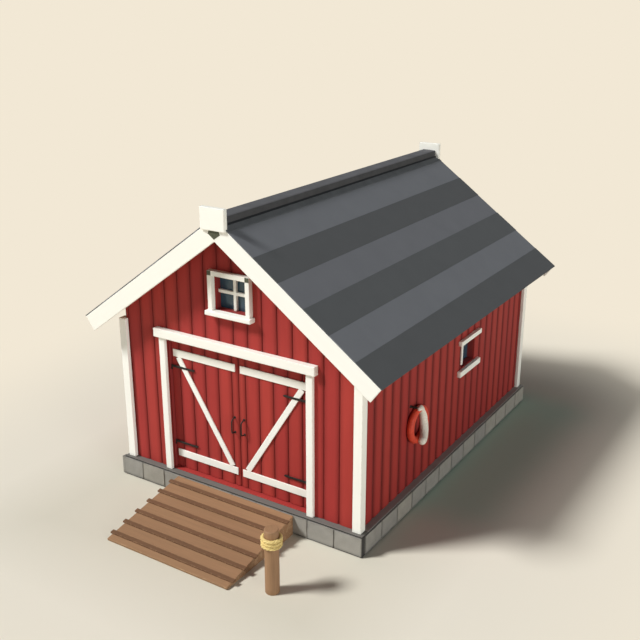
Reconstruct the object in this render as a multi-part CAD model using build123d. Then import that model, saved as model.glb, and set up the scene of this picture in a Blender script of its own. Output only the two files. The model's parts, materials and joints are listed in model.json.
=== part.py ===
from build123d import *
import math
import os

os.makedirs("parts", exist_ok=True)

# driving dimensions, millimetres: x across the gable, -y is the door gable, z up

# walls, posts and plinth
post_outer_x = 2500.0        # half width over the corner posts
post_outer_y = 3495.0        # half length over the corner posts
post_width = 154.0           # corner posts are square
post_proud = 70.0            # posts stand this far in front of the cladding
post_top_z = 3120.0          # flat sawn tops of the posts
wall_thickness = 180.0
plinth_height = 389.0
plinth_step_x = 78.0         # side facing blocks stand this far outside the posts
plinth_step_y = 73.0
block_proud = 22.0           # facing blocks stand in front of the core
block_gap = 14.0             # open joint between two blocks
block_foot = 18.0            # shadow gap between the blocks and the ground
block_head = 24.0            # core shows above the blocks
front_block_count = 10
side_block_count = 13
corner_overhang = 74.0       # first front block runs past the core's left corner
corner_return = 85.0         # and turns back along its side
side_row_start = 92.0        # side rows start this far behind the core's front corner
side_row_run_past = 68.0     # their whole blocks would pass the back corner; the last is cut flush
floor_thickness = 12.0

# roof
roof_tan = 0.7213            # rise over run of both slopes
roof_top_z = 5319.0          # where the two course planes would meet
eave_reach = 497.0           # courses run this far past the posts
front_reach = 316.0          # front barge face in front of the posts
back_reach = 181.0
course_thickness = 18.0      # measured square to the slope
course_lift = 7.0            # every second course is thicker by this
course_nose_setback = 5.0    # courses stop behind the front barge face
course_tail_reach = 4.0      # dark courses run past the back barge face
course_tail_step = 14.0      # light courses end this much sooner at the back
courses_per_side = 6
slab_thickness = 80.0
slab_eave_setback = 100.0    # boards of the slab stop short of the eave
ridge_strip_half = 286.0     # half width of the ridge flashing, in plan
ridge_cap_half = 156.0
ridge_cap_rise = 11.0        # flat top of the cap over the apex of the courses
ridge_cap_edge = 22.0        # its chamfered upper edges
barge_depth = 297.6
barge_thickness = 42.0
barge_end_setback = 21.0     # barge ends stop short of the eave
ridge_block_half = 236.0
ridge_block_fall = 209.0     # block runs down this far from the apex
ridge_block_rise = 151.0
ridge_block_depth = 85.0
apex_plate_thickness = 4.0
apex_plate_half = 118.0
apex_plate_neck_half = 96.0
apex_plate_shoulder = 63.0   # widest line under the ridge block
apex_plate_point = 147.0

# doorway
opening_half = 1455.0        # clear half width of the doorway
opening_top = 2948.0
threshold_thickness = 13.0
jamb_lap = 5.0               # reveal left showing beside the jamb casing
jamb_width = 126.0
jamb_proud = 66.0
lintel_reach = 71.0          # lintel runs past the jamb casings
lintel_height = 158.0
lintel_proud = 113.0

# door leaves
leaf_recess = 100.0          # leaf face behind the cladding
leaf_thickness = 50.0
leaf_gap_side = 10.0
leaf_gap_meeting = 5.0       # each leaf stops this far from the middle
leaf_gap_bottom = 11.0
leaf_gap_top = 12.0
rail_proud = 23.0
rail_inset_meeting = 49.0    # rails stop this far from the meeting edge
rail_inset_hinge = 41.0      # and this far from the hinged edge
rail_height = 137.0
top_rail_drop = 376.0        # foot of the top rail under the head of the doorway
bottom_rail_rise = 241.0     # foot of the bottom rail over the plinth
brace_width = 125.0          # measured along the rails
brace_inset_top = 42.0
brace_inset_foot = 54.0
strap_thickness = 8.0
strap_height = 40.0
strap_length = 501.0
strap_upper_drop = 184.0     # upper strap under the foot of the top rail
strap_lower_rise = 291.0     # lower strap over the foot of the bottom rail
strap_outer_pad = 52.0       # packing between strap and boards
strap_inner_pad = 90.0
hinge_inset = 24.0           # hinge pins stand this far inside the reveals
knuckle_radius = 14.0
knuckle_height = 60.0
pintle_radius = 6.5
pin_clearance = 0.3          # running fit of a knuckle on its pintle
pintle_gap = 6.0             # under the knuckle
pintle_arm = 30.0            # height of the arm that carries the pin
handle_x = 100.0
handle_reach = 92.0
handle_low_z = 1437.0
handle_length = 285.0
handle_radius = 13.0
handle_bend = 24.0
handle_foot_slope = 22.0     # rise of the lower leg
handle_head_slope = 42.0     # fall of the upper leg
handle_tenon = 12.0          # legs enter the boards this far before trimming

# gable window
gable_casing = 85.0
gable_window_half = 423.0    # over the casing
gable_sill_rise = 554.0      # sill top over the lintel
gable_window_height = 678.0  # sill top to the top of the casing
gable_sill_height = 80.0
gable_sill_reach = 40.0
gable_casing_proud = 92.5
gable_sill_proud = 142.0
glass_recess = 140.0
glass_thickness = 8.0
gable_bar_width = 56.0
gable_bar_recess = 84.0      # bar faces behind the cladding
corner_plate_thickness = 3.0
corner_plate_margin = 4.0

# side window
side_open_start = 335.0      # y of the near reveal
side_open_width = 595.0
side_open_height = 496.0
side_sill_top = 1882.0
side_sill_height = 112.0
side_open_rise = 18.0        # opening starts over the sill top
side_casing = 92.0           # height of the head board
side_casing_proud = 75.0
side_head_near = 160.0       # head board runs past the opening
side_head_far = 153.0
side_sill_near = 155.0
side_sill_far = 166.0
side_jamb_width = 50.0
side_jamb_gap = 103.0        # jamb ends this far over the sill
side_jamb_proud = 30.0

# lifebuoy
buoy_y = -1539.0
buoy_z = 1536.0
buoy_radius = 284.0          # to the middle of the tube
buoy_tube = 63.0
white_tube = 77.0            # the white cover is thicker
white_out = 66.0             # its middle lies further from the wall
white_near = 35.0            # and nearer to the doors
white_up = 9.0
white_turn = 16.3            # degrees out of the wall plane, about the upright
white_lean = 9.3             # degrees, top towards the wall
white_lap = 67.0             # it runs past its own middle
hook_radius = 19.0
hook_near = 185.0            # root of the hook, from the middle of the ring
hook_rise = 386.0
hook_length = 125.0
hook_slew = 28.0             # hook bends this far towards the ring

# ramp
ramp_half = 1245.0
ramp_fall = 34.0             # top of the ramp under the plinth
ramp_foot_z = 45.0
ramp_length = 1802.0
stringer_width = 60.0
stringer_stop = 120.0        # stringers stop before the toe of the ramp
batten_reach = 38.0          # battens run past the deck
batten_width = 80.0
batten_height = 30.0
batten_first = 181.0         # from the plinth to the middle of the first batten
batten_last = 156.0          # from the last one to the toe
batten_count = 6

# mooring post and rope
post_gap = 600.0             # from the edge of the ramp to its middle
post_behind_toe = 363.0
mooring_radius = 114.0
mooring_height = 1098.0
mooring_chamfer = 14.0
rope_radius = 30.0
rope_bed = 6.0              # rope is drawn flat against the post by this
rope_nest = 4.0              # turns bed into each other
rope_fall = 259.0            # middle of the lowest turn under the top of the post
rope_turns = 3

# dimensions that follow from the ones above
plinth_half_x = post_outer_x + plinth_step_x
plinth_half_y = post_outer_y + plinth_step_y
core_x = plinth_half_x - block_proud
core_y = plinth_half_y - block_proud
wall_x = post_outer_x - post_proud
wall_y = post_outer_y - post_proud
room_x = wall_x - wall_thickness
room_y = wall_y - wall_thickness
eave_x = post_outer_x + eave_reach
barge_front_y = -(post_outer_y + front_reach)
barge_back_y = post_outer_y + back_reach
roof_front_y = barge_front_y + course_nose_setback
roof_back_y = barge_back_y + course_tail_reach
barge_end_x = eave_x - barge_end_setback
slab_front_y = barge_front_y + barge_thickness
slab_back_y = barge_back_y - barge_thickness
slab_eave_x = eave_x - slab_eave_setback
roof_angle = math.atan(roof_tan)
roof_cos = math.cos(roof_angle)
roof_sin = math.sin(roof_angle)
course_drop = course_thickness / roof_cos
slab_drop = (course_thickness + slab_thickness) / roof_cos
jamb_inner = opening_half + jamb_lap
jamb_outer = jamb_inner + jamb_width
lintel_half = jamb_outer + lintel_reach
lintel_top = opening_top + lintel_height
leaf_front = -(wall_y - leaf_recess)
leaf_back = leaf_front + leaf_thickness
leaf_low = plinth_height + threshold_thickness + leaf_gap_bottom
leaf_high = opening_top - leaf_gap_top
leaf_outer = opening_half - leaf_gap_side
rail_front = leaf_front - rail_proud
rail_inner = leaf_gap_meeting + rail_inset_meeting
rail_outer = leaf_outer - rail_inset_hinge
top_rail_z = opening_top - top_rail_drop
bottom_rail_z = plinth_height + bottom_rail_rise
strap_upper_z = top_rail_z - strap_upper_drop
strap_lower_z = bottom_rail_z + strap_lower_rise
strap_front = rail_front - strap_thickness
knuckle_bore = pintle_radius + pin_clearance
hinge_x = opening_half - hinge_inset
hinge_y = rail_front - strap_thickness / 2
window_half = gable_window_half - gable_casing
window_low = lintel_top + gable_sill_rise
window_top = window_low + gable_window_height
window_high = window_top - gable_casing
side_open_end = side_open_start + side_open_width
side_open_low = side_sill_top + side_open_rise
side_open_high = side_open_low + side_open_height
ramp_top_z = plinth_height - ramp_fall
ramp_back_y = -plinth_half_y
ramp_foot_y = ramp_back_y - ramp_length
ramp_slope = (ramp_top_z - ramp_foot_z) / ramp_length
past = wall_thickness / 10   # cutting solids run past what they cut by this


def roof_z(x, drop):
    # height of a plane that lies drop under the course plane, measured upright
    return roof_top_z - roof_tan * abs(x) - drop


def block(x0, x1, y0, y1, z0, z1):
    # box between two corners
    return Pos((x0 + x1) / 2, (y0 + y1) / 2, (z0 + z1) / 2) * Box(abs(x1 - x0), abs(y1 - y0), abs(z1 - z0))


def prism_y(points, y0, y1):
    # outline in x and z, pushed along y
    face = make_face(Polyline(*[(p[0], y0, p[1]) for p in points], close=True))
    return extrude(face, amount=abs(y1 - y0), dir=(0, 1 if y1 > y0 else -1, 0))


def prism_x(points, x0, x1):
    # outline in y and z, pushed along x
    face = make_face(Polyline(*[(x0, p[0], p[1]) for p in points], close=True))
    return extrude(face, amount=abs(x1 - x0), dir=(1 if x1 > x0 else -1, 0, 0))


def mirror_x(shape):
    return mirror(shape, about=Plane.YZ)


nodes = {}

# stone plinth: a core and rows of facing blocks with open joints
nodes["plinth_core"] = block(-core_x, core_x, -core_y, core_y, 0, plinth_height)


def row_joints(start, end, count):
    # joints of one row of equal blocks, both ends included
    return [start + (end - start) * k / count for k in range(count + 1)]


facing = []
block_top = plinth_height - block_head
front_joints = row_joints(-core_x - corner_overhang, core_x, front_block_count)
side_joints = row_joints(-core_y + side_row_start, core_y + side_row_run_past, side_block_count)
for a, b in zip(front_joints[:-1], front_joints[1:]):
    x0 = a + block_gap / 2
    x1 = b - block_gap / 2
    front_block = block(x0, x1, -plinth_half_y, -core_y, block_foot, block_top)
    if x0 < -core_x:
        # this block wraps the left corner
        front_block += block(x0, -core_x, -core_y, -core_y + corner_return, block_foot, block_top)
    facing.append(front_block)
    facing.append(block(max(x0, -core_x + block_gap / 2), x1, core_y, plinth_half_y, block_foot, block_top))
for a, b in zip(side_joints[:-1], side_joints[1:]):
    y0 = a + block_gap / 2
    y1 = min(b - block_gap / 2, plinth_half_y)
    facing.append(block(core_x, plinth_half_x, y0, y1, block_foot, block_top))
    facing.append(block(-plinth_half_x, -core_x, y0, y1, block_foot, block_top))
nodes["plinth_blocks"] = Compound(children=facing)

nodes["floor_boards"] = block(-room_x, room_x, -room_y, room_y, plinth_height, plinth_height + floor_thickness)

# walls with real thickness, cut to the underside of the roof
wall_left = prism_y([(-wall_x, plinth_height), (-opening_half, plinth_height), (-opening_half, opening_top),
                     (-opening_half, roof_z(opening_half, slab_drop)), (-wall_x, roof_z(wall_x, slab_drop))],
                    -wall_y, -room_y)
nodes["front_wall_left"] = wall_left
nodes["front_wall_right"] = mirror_x(wall_left)
gable = prism_y([(-opening_half, opening_top), (opening_half, opening_top),
                 (opening_half, roof_z(opening_half, slab_drop)), (0, roof_z(0, slab_drop)),
                 (-opening_half, roof_z(opening_half, slab_drop))], -wall_y, -room_y)
window_hole = block(-window_half, window_half, -wall_y - past, -room_y + past, window_low, window_high)
nodes["front_wall_gable"] = gable - window_hole
nodes["back_wall"] = prism_y([(-wall_x, plinth_height), (wall_x, plinth_height),
                              (wall_x, roof_z(wall_x, slab_drop)), (0, roof_z(0, slab_drop)),
                              (-wall_x, roof_z(wall_x, slab_drop))], room_y, wall_y)
side_outline = [(room_x, plinth_height), (wall_x, plinth_height), (wall_x, roof_z(wall_x, slab_drop)),
                (room_x, roof_z(room_x, slab_drop))]
side_wall = prism_y(side_outline, -room_y, room_y)
nodes["left_wall"] = mirror_x(side_wall)
nodes["right_wall"] = side_wall - block(room_x - past, wall_x + past, side_open_start, side_open_end,
                                        side_open_low, side_open_high)

# corner posts wrap each corner: an angle that laps both walls
posts = []
post_inner_x = post_outer_x - post_width
post_inner_y = post_outer_y - post_width
for sx in (-1, 1):
    for sy in (-1, 1):
        outer = block(sx * post_inner_x, sx * post_outer_x, sy * post_inner_y, sy * post_outer_y,
                      plinth_height, post_top_z)
        corner = block(sx * (post_inner_x - past), sx * wall_x, sy * (post_inner_y - past), sy * wall_y,
                       plinth_height - past, post_top_z + past)
        posts.append(outer - corner)
nodes["corner_posts"] = Compound(children=posts)

# roof: slab, lapped courses, flashing, cap, barge boards
slab_right = prism_y([(0, roof_z(0, course_drop)), (slab_eave_x, roof_z(slab_eave_x, course_drop)),
                      (slab_eave_x, roof_z(slab_eave_x, slab_drop)), (0, roof_z(0, slab_drop))],
                     slab_front_y, slab_back_y)
nodes["roof_slab_right"] = slab_right
nodes["roof_slab_left"] = mirror_x(slab_right)

course_run = (eave_x - ridge_strip_half) / courses_per_side
light_courses = []
dark_courses = []
for i in range(courses_per_side):
    x0 = ridge_strip_half + course_run * i
    x1 = x0 + course_run
    dark = i % 2 == 1
    lift = course_lift / roof_cos if dark else 0.0
    back = roof_back_y if dark else roof_back_y - course_tail_step
    outline = [(x0, roof_z(x0, course_drop)), (x0, roof_z(x0, -lift)), (x1, roof_z(x1, -lift)),
               (x1, roof_z(x1, course_drop))]
    course = prism_y(outline, roof_front_y, back)
    target = dark_courses if dark else light_courses
    target.append(course)
    target.append(mirror_x(course))
nodes["roof_courses_light"] = Compound(children=light_courses)
nodes["roof_courses_dark"] = Compound(children=dark_courses)

flashing_right = prism_y([(0, roof_z(0, course_drop)), (0, roof_z(0, 0)),
                          (ridge_strip_half, roof_z(ridge_strip_half, 0)),
                          (ridge_strip_half, roof_z(ridge_strip_half, course_drop))], roof_front_y, roof_back_y)
nodes["ridge_flashing"] = flashing_right + mirror_x(flashing_right)

cap_front_y = barge_front_y + ridge_block_depth / 2
cap_back_y = barge_back_y - ridge_block_depth / 2
cap_foot_z = roof_z(ridge_cap_half, 0)
cap_top_z = roof_top_z + ridge_cap_rise
nodes["ridge_cap"] = prism_y([
    (-ridge_cap_half, cap_foot_z), (0, roof_z(0, 0)), (ridge_cap_half, cap_foot_z),
    (ridge_cap_half, cap_top_z - ridge_cap_edge), (ridge_cap_half - ridge_cap_edge, cap_top_z),
    (-ridge_cap_half + ridge_cap_edge, cap_top_z), (-ridge_cap_half, cap_top_z - ridge_cap_edge)],
    cap_front_y, cap_back_y)


def barge_pair(y0, y1):
    # two boards that meet in an upright mitre at the ridge, ends cut square to the slope
    low_x = barge_end_x - barge_depth * roof_sin
    top_z = roof_z(barge_end_x, course_drop)
    low_z = top_z - barge_depth * roof_cos
    ridge_z = roof_z(0, course_drop)
    low_ridge = ridge_z - barge_depth / roof_cos
    return prism_y([(0, ridge_z), (barge_end_x, top_z), (low_x, low_z), (0, low_ridge), (-low_x, low_z),
                    (-barge_end_x, top_z)], y0, y1)


nodes["barge_boards_front"] = barge_pair(barge_front_y, barge_front_y + barge_thickness)
nodes["barge_boards_back"] = barge_pair(barge_back_y - barge_thickness, barge_back_y)

ridge_block_low = roof_top_z - ridge_block_fall
ridge_block_high = roof_top_z + ridge_block_rise


def ridge_block(y0, y1, seat0, seat1):
    # square block over the ridge, cut away between seat0 and seat1 to sit on the roof
    body = block(-ridge_block_half, ridge_block_half, y0, y1, ridge_block_low, ridge_block_high)
    far = ridge_block_half + past
    low = ridge_block_low - past
    roof_under = prism_y([(-far, low), (far, low), (far, roof_z(far, 0)), (0, roof_z(0, 0)),
                          (-far, roof_z(far, 0))], seat0, seat1)
    return body - roof_under


nodes["ridge_blocks"] = Compound(children=[
    ridge_block(barge_front_y - ridge_block_depth / 2, cap_front_y, barge_front_y, cap_front_y + past),
    ridge_block(cap_back_y, barge_back_y + ridge_block_depth / 2, cap_back_y - past, roof_back_y)])

shoulder_z = ridge_block_low - apex_plate_shoulder
plate_outline = [(0, ridge_block_low - apex_plate_point), (apex_plate_half, shoulder_z),
                 (apex_plate_neck_half, ridge_block_low), (-apex_plate_neck_half, ridge_block_low),
                 (-apex_plate_half, shoulder_z)]
nodes["apex_plates"] = Compound(children=[
    prism_y(plate_outline, barge_front_y - apex_plate_thickness, barge_front_y),
    prism_y(plate_outline, barge_back_y, barge_back_y + apex_plate_thickness)])

# doorway
nodes["door_lintel"] = block(-lintel_half, lintel_half, -wall_y - lintel_proud, -wall_y, opening_top, lintel_top)
jamb = block(jamb_inner, jamb_outer, -wall_y - jamb_proud, -wall_y, plinth_height, opening_top)
nodes["door_jambs"] = Compound(children=[jamb, mirror_x(jamb)])
nodes["threshold"] = block(-opening_half, opening_half, -wall_y, -room_y,
                           plinth_height, plinth_height + threshold_thickness)

pintles = []
for z in (strap_lower_z, strap_upper_z):
    arm_top = z - knuckle_height / 2 - pintle_gap
    pin_top = z + knuckle_height / 2
    for side in (-1, 1):
        arm = block(side * (hinge_x - pintle_radius), side * opening_half,
                    hinge_y - pintle_radius, hinge_y + pintle_radius, arm_top - pintle_arm, arm_top)
        pin_low = arm_top - pintle_arm / 2
        pin = Pos(side * hinge_x, hinge_y, (pin_low + pin_top) / 2) * Cylinder(pintle_radius, pin_top - pin_low)
        pintles.append(arm + pin)
nodes["hinge_pintles"] = Compound(children=pintles)


def leaf_parts(side):
    # one leaf, side 1 is the right hand one: boards, Z frame, straps with knuckles, pull handle
    boards = block(side * leaf_gap_meeting, side * leaf_outer, leaf_front, leaf_back, leaf_low, leaf_high)
    brace_top = top_rail_z + rail_height / 2
    brace_foot = bottom_rail_z + rail_height / 2
    frame = prism_y([(side * (rail_inner + brace_inset_foot), brace_foot),
                     (side * (rail_inner + brace_inset_foot + brace_width), brace_foot),
                     (side * (rail_outer - brace_inset_top), brace_top),
                     (side * (rail_outer - brace_inset_top - brace_width), brace_top)], rail_front, leaf_front)
    for z in (bottom_rail_z, top_rail_z):
        frame += block(side * rail_inner, side * rail_outer, rail_front, leaf_front, z, z + rail_height)
    straps = []
    strap_end = hinge_x - strap_length
    for z in (strap_lower_z, strap_upper_z):
        low = z - strap_height / 2
        high = z + strap_height / 2
        pin = Pos(side * hinge_x, hinge_y, z)
        pad_outer = hinge_x - knuckle_radius + strap_thickness
        strap = block(side * strap_end, side * hinge_x, strap_front, rail_front, low, high)
        strap += block(side * (pad_outer - strap_outer_pad), side * pad_outer, rail_front, leaf_front, low, high)
        strap += block(side * strap_end, side * (strap_end + strap_inner_pad), rail_front, leaf_front, low, high)
        strap += pin * Cylinder(knuckle_radius, knuckle_height)
        strap -= pin * Cylinder(knuckle_bore, knuckle_height + past)
        straps.append(strap)
    bar_x = side * handle_x
    bar_y = leaf_front - handle_reach
    root_y = leaf_front + handle_tenon
    handle_high_z = handle_low_z + handle_length
    path = FilletPolyline((bar_x, root_y, handle_low_z), (bar_x, bar_y, handle_low_z + handle_foot_slope),
                          (bar_x, bar_y, handle_high_z - handle_head_slope), (bar_x, root_y, handle_high_z),
                          radius=handle_bend)
    start = Plane(origin=(bar_x, root_y, handle_low_z), z_dir=path % 0)
    handle = sweep(start * Circle(handle_radius), path=path) - boards
    return boards, frame, straps, handle


for word, side in (("right", 1), ("left", -1)):
    boards, frame, straps, handle = leaf_parts(side)
    nodes["door_" + word + "_boards"] = boards
    nodes["door_" + word + "_frame"] = frame
    nodes["door_" + word + "_straps"] = Compound(children=straps)
    nodes["door_" + word + "_handle"] = handle

# gable window
casing_front = -wall_y - gable_casing_proud
sill_half = gable_window_half + gable_sill_reach
casing = block(-gable_window_half, gable_window_half, casing_front, -wall_y, window_high, window_top)
casing += block(-gable_window_half, -window_half, casing_front, -wall_y, window_low, window_high)
casing += block(window_half, gable_window_half, casing_front, -wall_y, window_low, window_high)
casing += block(-sill_half, sill_half, -wall_y - gable_sill_proud, -wall_y,
                window_low - gable_sill_height, window_low)
nodes["gable_window_casing"] = casing
plates = []
for side in (-1, 1):
    plates.append(block(side * (gable_window_half - corner_plate_margin), side * (window_half + corner_plate_margin),
                        casing_front - corner_plate_thickness, casing_front,
                        window_high + corner_plate_margin, window_top - corner_plate_margin))
nodes["gable_window_corner_plates"] = Compound(children=plates)
glass_front = -wall_y + glass_recess
bar_front = -wall_y + gable_bar_recess
window_mid = (window_low + window_high) / 2
bars = block(-gable_bar_width / 2, gable_bar_width / 2, bar_front, glass_front, window_low, window_high)
bars += block(-window_half, window_half, bar_front, glass_front,
              window_mid - gable_bar_width / 2, window_mid + gable_bar_width / 2)
nodes["gable_window_bars"] = bars
nodes["gable_window_glass"] = block(-window_half, window_half, glass_front, glass_front + glass_thickness,
                                    window_low, window_high)

# side window: head board, sill and one thin jamb
side_front = wall_x + side_casing_proud
side_trim = block(wall_x, side_front, side_open_start - side_head_near, side_open_end + side_head_far,
                  side_open_high, side_open_high + side_casing)
side_trim += block(wall_x, wall_x + side_jamb_proud, side_open_start - side_jamb_width, side_open_start,
                   side_sill_top + side_jamb_gap, side_open_high)
side_sill = block(wall_x, side_front, side_open_start - side_sill_near, side_open_end + side_sill_far,
                  side_sill_top - side_sill_height, side_sill_top)
nodes["side_window_casing"] = Compound(children=[side_trim, side_sill])
side_glass_face = wall_x - glass_recess
nodes["side_window_glass"] = block(side_glass_face - glass_thickness, side_glass_face, side_open_start,
                                   side_open_end, side_open_low, side_open_high)

# lifebuoy on the right wall: an orange ring, and half a white one turned out of its plane
buoy_x = wall_x + buoy_tube
ring = Pos(buoy_x, buoy_y, buoy_z) * Rot(0, 90, 0) * Torus(buoy_radius, buoy_tube)
turn = math.radians(white_turn)
lean = math.radians(white_lean)
far_way = Vector(-math.sin(turn), math.cos(turn), 0)
side_way = far_way.cross(Vector(0, 0, 1))
up_way = Vector(0, 0, 1) * math.cos(lean) - side_way * math.sin(lean)
white_middle = Vector(buoy_x + white_out, buoy_y - white_near, buoy_z + white_up)
white_plane = Plane(origin=white_middle, x_dir=far_way, z_dir=far_way.cross(up_way))
white_reach = buoy_radius + 2 * white_tube
white = white_plane * Torus(buoy_radius, white_tube)
white &= white_plane * Pos((white_reach - white_lap) / 2, 0, 0) * Box(
    white_reach + white_lap, 2 * white_reach, 2 * white_reach)
white -= block(wall_x - white_reach, wall_x, buoy_y - 2 * white_reach, buoy_y + 2 * white_reach,
               buoy_z - 2 * white_reach, buoy_z + 2 * white_reach)
nodes["lifebuoy_far_half"] = white
nodes["lifebuoy_near_half"] = ring - white
hook_root = Vector(wall_x, buoy_y - hook_near, buoy_z + hook_rise)
hook_tip = hook_root + Vector(hook_length, hook_slew, 0)
hook_plane = Plane(origin=hook_root, z_dir=hook_tip - hook_root)
hook_body = hook_plane * Pos(0, 0, hook_length / 2) * Cylinder(hook_radius, hook_length * 1.5)
hook_body &= block(wall_x, hook_tip.X, hook_root.Y - hook_length, hook_root.Y + hook_length,
                   hook_root.Z - hook_length, hook_root.Z + hook_length)
nodes["lifebuoy_hook"] = hook_body - ring - white

# slipway ramp
deck_drop = ramp_foot_z
deck_outline = [(ramp_back_y, ramp_top_z), (ramp_foot_y, ramp_foot_z), (ramp_foot_y, 0),
                (ramp_back_y, ramp_top_z - deck_drop)]
nodes["ramp_deck"] = prism_x(deck_outline, -ramp_half, ramp_half)
stop_y = ramp_foot_y + stringer_stop
stringer_outline = [(ramp_back_y, 0), (ramp_back_y, ramp_top_z - deck_drop), (stop_y, ramp_slope * stringer_stop),
                    (stop_y, 0)]
stringers = []
for x in (-ramp_half, -stringer_width / 2, ramp_half - stringer_width):
    stringers.append(prism_x(stringer_outline, x, x + stringer_width))
nodes["ramp_stringers"] = Compound(children=stringers)
battens = []
batten_half = ramp_half + batten_reach
batten_pitch = (ramp_length - batten_first - batten_last) / (batten_count - 1)
for i in range(batten_count):
    y = ramp_back_y - batten_first - batten_pitch * i
    y0 = y - batten_width / 2
    y1 = y + batten_width / 2
    z0 = ramp_top_z + ramp_slope * (y0 - ramp_back_y)
    z1 = ramp_top_z + ramp_slope * (y1 - ramp_back_y)
    battens.append(prism_x([(y0, z0), (y1, z1), (y1, z1 + batten_height), (y0, z0 + batten_height)],
                           -batten_half, batten_half))
nodes["ramp_battens"] = Compound(children=battens)

# mooring post with turns of rope
mooring_x = ramp_half + post_gap
mooring_y = ramp_foot_y + post_behind_toe
mooring = Pos(mooring_x, mooring_y, mooring_height / 2) * Cylinder(mooring_radius, mooring_height)
nodes["mooring_post"] = chamfer(mooring.edges().group_by(Axis.Z)[-1], mooring_chamfer)
rope_line = mooring_radius + rope_radius - rope_bed
rope_pitch = 2 * rope_radius - rope_nest
rope = None
for i in range(rope_turns):
    turn_z = mooring_height - rope_fall + rope_pitch * i
    coil = Pos(mooring_x, mooring_y, turn_z) * Torus(rope_line, rope_radius)
    rope = coil if rope is None else rope + coil
nodes["mooring_rope"] = rope - Pos(mooring_x, mooring_y, mooring_height / 2) * Cylinder(
    mooring_radius, 2 * mooring_height)

for name, shape in nodes.items():
    export_step(shape, os.path.join("parts", name + ".step"))
    print(name, round(shape.volume / 1e9, 5), "m3", len(shape.solids()), "solids")
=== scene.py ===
import json
import math
import bpy
import numpy as np
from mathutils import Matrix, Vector


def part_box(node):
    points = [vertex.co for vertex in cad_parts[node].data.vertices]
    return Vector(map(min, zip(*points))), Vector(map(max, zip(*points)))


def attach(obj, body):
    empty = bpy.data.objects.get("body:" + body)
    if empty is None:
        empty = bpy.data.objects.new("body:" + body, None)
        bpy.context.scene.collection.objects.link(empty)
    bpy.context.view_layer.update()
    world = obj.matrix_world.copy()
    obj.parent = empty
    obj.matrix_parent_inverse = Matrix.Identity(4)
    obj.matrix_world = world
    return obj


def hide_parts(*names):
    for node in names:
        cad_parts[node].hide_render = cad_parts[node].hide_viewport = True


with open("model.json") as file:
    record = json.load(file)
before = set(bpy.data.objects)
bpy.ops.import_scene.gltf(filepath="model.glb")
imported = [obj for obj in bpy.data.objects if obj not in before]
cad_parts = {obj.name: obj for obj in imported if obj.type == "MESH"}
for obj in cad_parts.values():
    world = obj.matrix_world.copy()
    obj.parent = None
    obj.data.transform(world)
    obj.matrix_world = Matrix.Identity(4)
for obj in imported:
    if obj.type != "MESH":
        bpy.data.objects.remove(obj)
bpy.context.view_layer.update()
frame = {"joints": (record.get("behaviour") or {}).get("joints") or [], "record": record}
dice = np.random.default_rng(41)  # every draw comes from here, in order, so each run is the same
print("frame loaded")

# camera and light, set to the photograph's view

view = {
    "place": (8.665, -14.371, 8.529),      # metres
    "back": (0.50572, -0.79353, 0.33847),  # from the object to the camera
    "lens": 51.08, "sensor": 36.0,         # mm
}
light = {
    "sun": {"back": (-0.516, -0.465, 0.719), "power": 3.8, "size": 13.0},  # size in degrees, for a soft shadow
    "fill": {"back": (0.94, -0.32, 0.09), "power": 1.74, "size": 30.0},
    "skyPower": 0.12, "skyHex": "#E4EDF2", "backdropHex": "#F2E8D5",
}


def hexToLinear(text):
    # sRGB hex to linear colour with alpha one
    c = np.array([int(text[i:i + 2], 16) for i in (1, 3, 5)]) / 255.0
    lin = np.where(c <= 0.04045, c / 12.92, ((c + 0.055) / 1.055) ** 2.4)
    return (*[float(v) for v in lin], 1.0)


def addNode(tree, kind, inputs=None, **settings):
    # one shader node: plain settings by name and inputs by socket. A node as an input links its first live output,
    # and a (node, name) pair links the output of that name
    node = tree.nodes.new("ShaderNode" + kind)
    for key, value in settings.items():
        setattr(node, key, value)
    for key, value in (inputs or {}).items():
        if isinstance(value, bpy.types.Node):
            tree.links.new(next(s for s in value.outputs if s.enabled), node.inputs[key])
        elif isinstance(value, tuple) and isinstance(value[0], bpy.types.Node):
            tree.links.new(value[0].outputs[value[1]], node.inputs[key])
        else:
            node.inputs[key].default_value = value
    return node


def intoScene(name, data, back=None):
    # a new object. A lamp or a camera looks along minus back
    thing = bpy.data.objects.new(name, data)
    bpy.context.scene.collection.objects.link(thing)
    if back:
        thing.rotation_mode = "QUATERNION"
        thing.rotation_quaternion = (-Vector(back)).to_track_quat("-Z", "Y")
    return thing


scene = bpy.context.scene
scene.view_settings.view_transform = "Standard"
cameraData = bpy.data.cameras.new("photoCamera")
cameraData.lens = view["lens"]
cameraData.sensor_width = view["sensor"]
scene.camera = intoScene("photoCamera", cameraData, view["back"])
scene.camera.location = view["place"]

for name in ("sun", "fill"):
    lampData = bpy.data.lights.new(name + "Lamp", "SUN")
    lampData.energy = light[name]["power"]
    lampData.angle = math.radians(light[name]["size"])
    intoScene(name + "Lamp", lampData, light[name]["back"])

scene.world = bpy.data.worlds.new("studio")
scene.world.use_nodes = True
sky = scene.world.node_tree
sky.nodes.clear()
rays = addNode(sky, "LightPath")
seen = addNode(sky, "Math", {0: (rays, "Is Camera Ray"), 1: (rays, "Is Transmission Ray")}, operation="MAXIMUM")
softSky = addNode(sky, "Background", {"Color": hexToLinear(light["skyHex"]), "Strength": light["skyPower"]})
backdrop = addNode(sky, "Background", {"Color": hexToLinear(light["backdropHex"]), "Strength": 1.0})
skyMix = addNode(sky, "MixShader", {0: seen, 1: softSky, 2: backdrop})
addNode(sky, "OutputWorld", {"Surface": skyMix})
print("camera and light")

# materials: each is a real finish, with its pattern sizes in millimetres


def startMaterial(name):
    # a new material with an empty node tree
    mat = bpy.data.materials.new(name)
    mat.use_nodes = True
    mat.node_tree.nodes.clear()
    return mat, mat.node_tree


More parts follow.
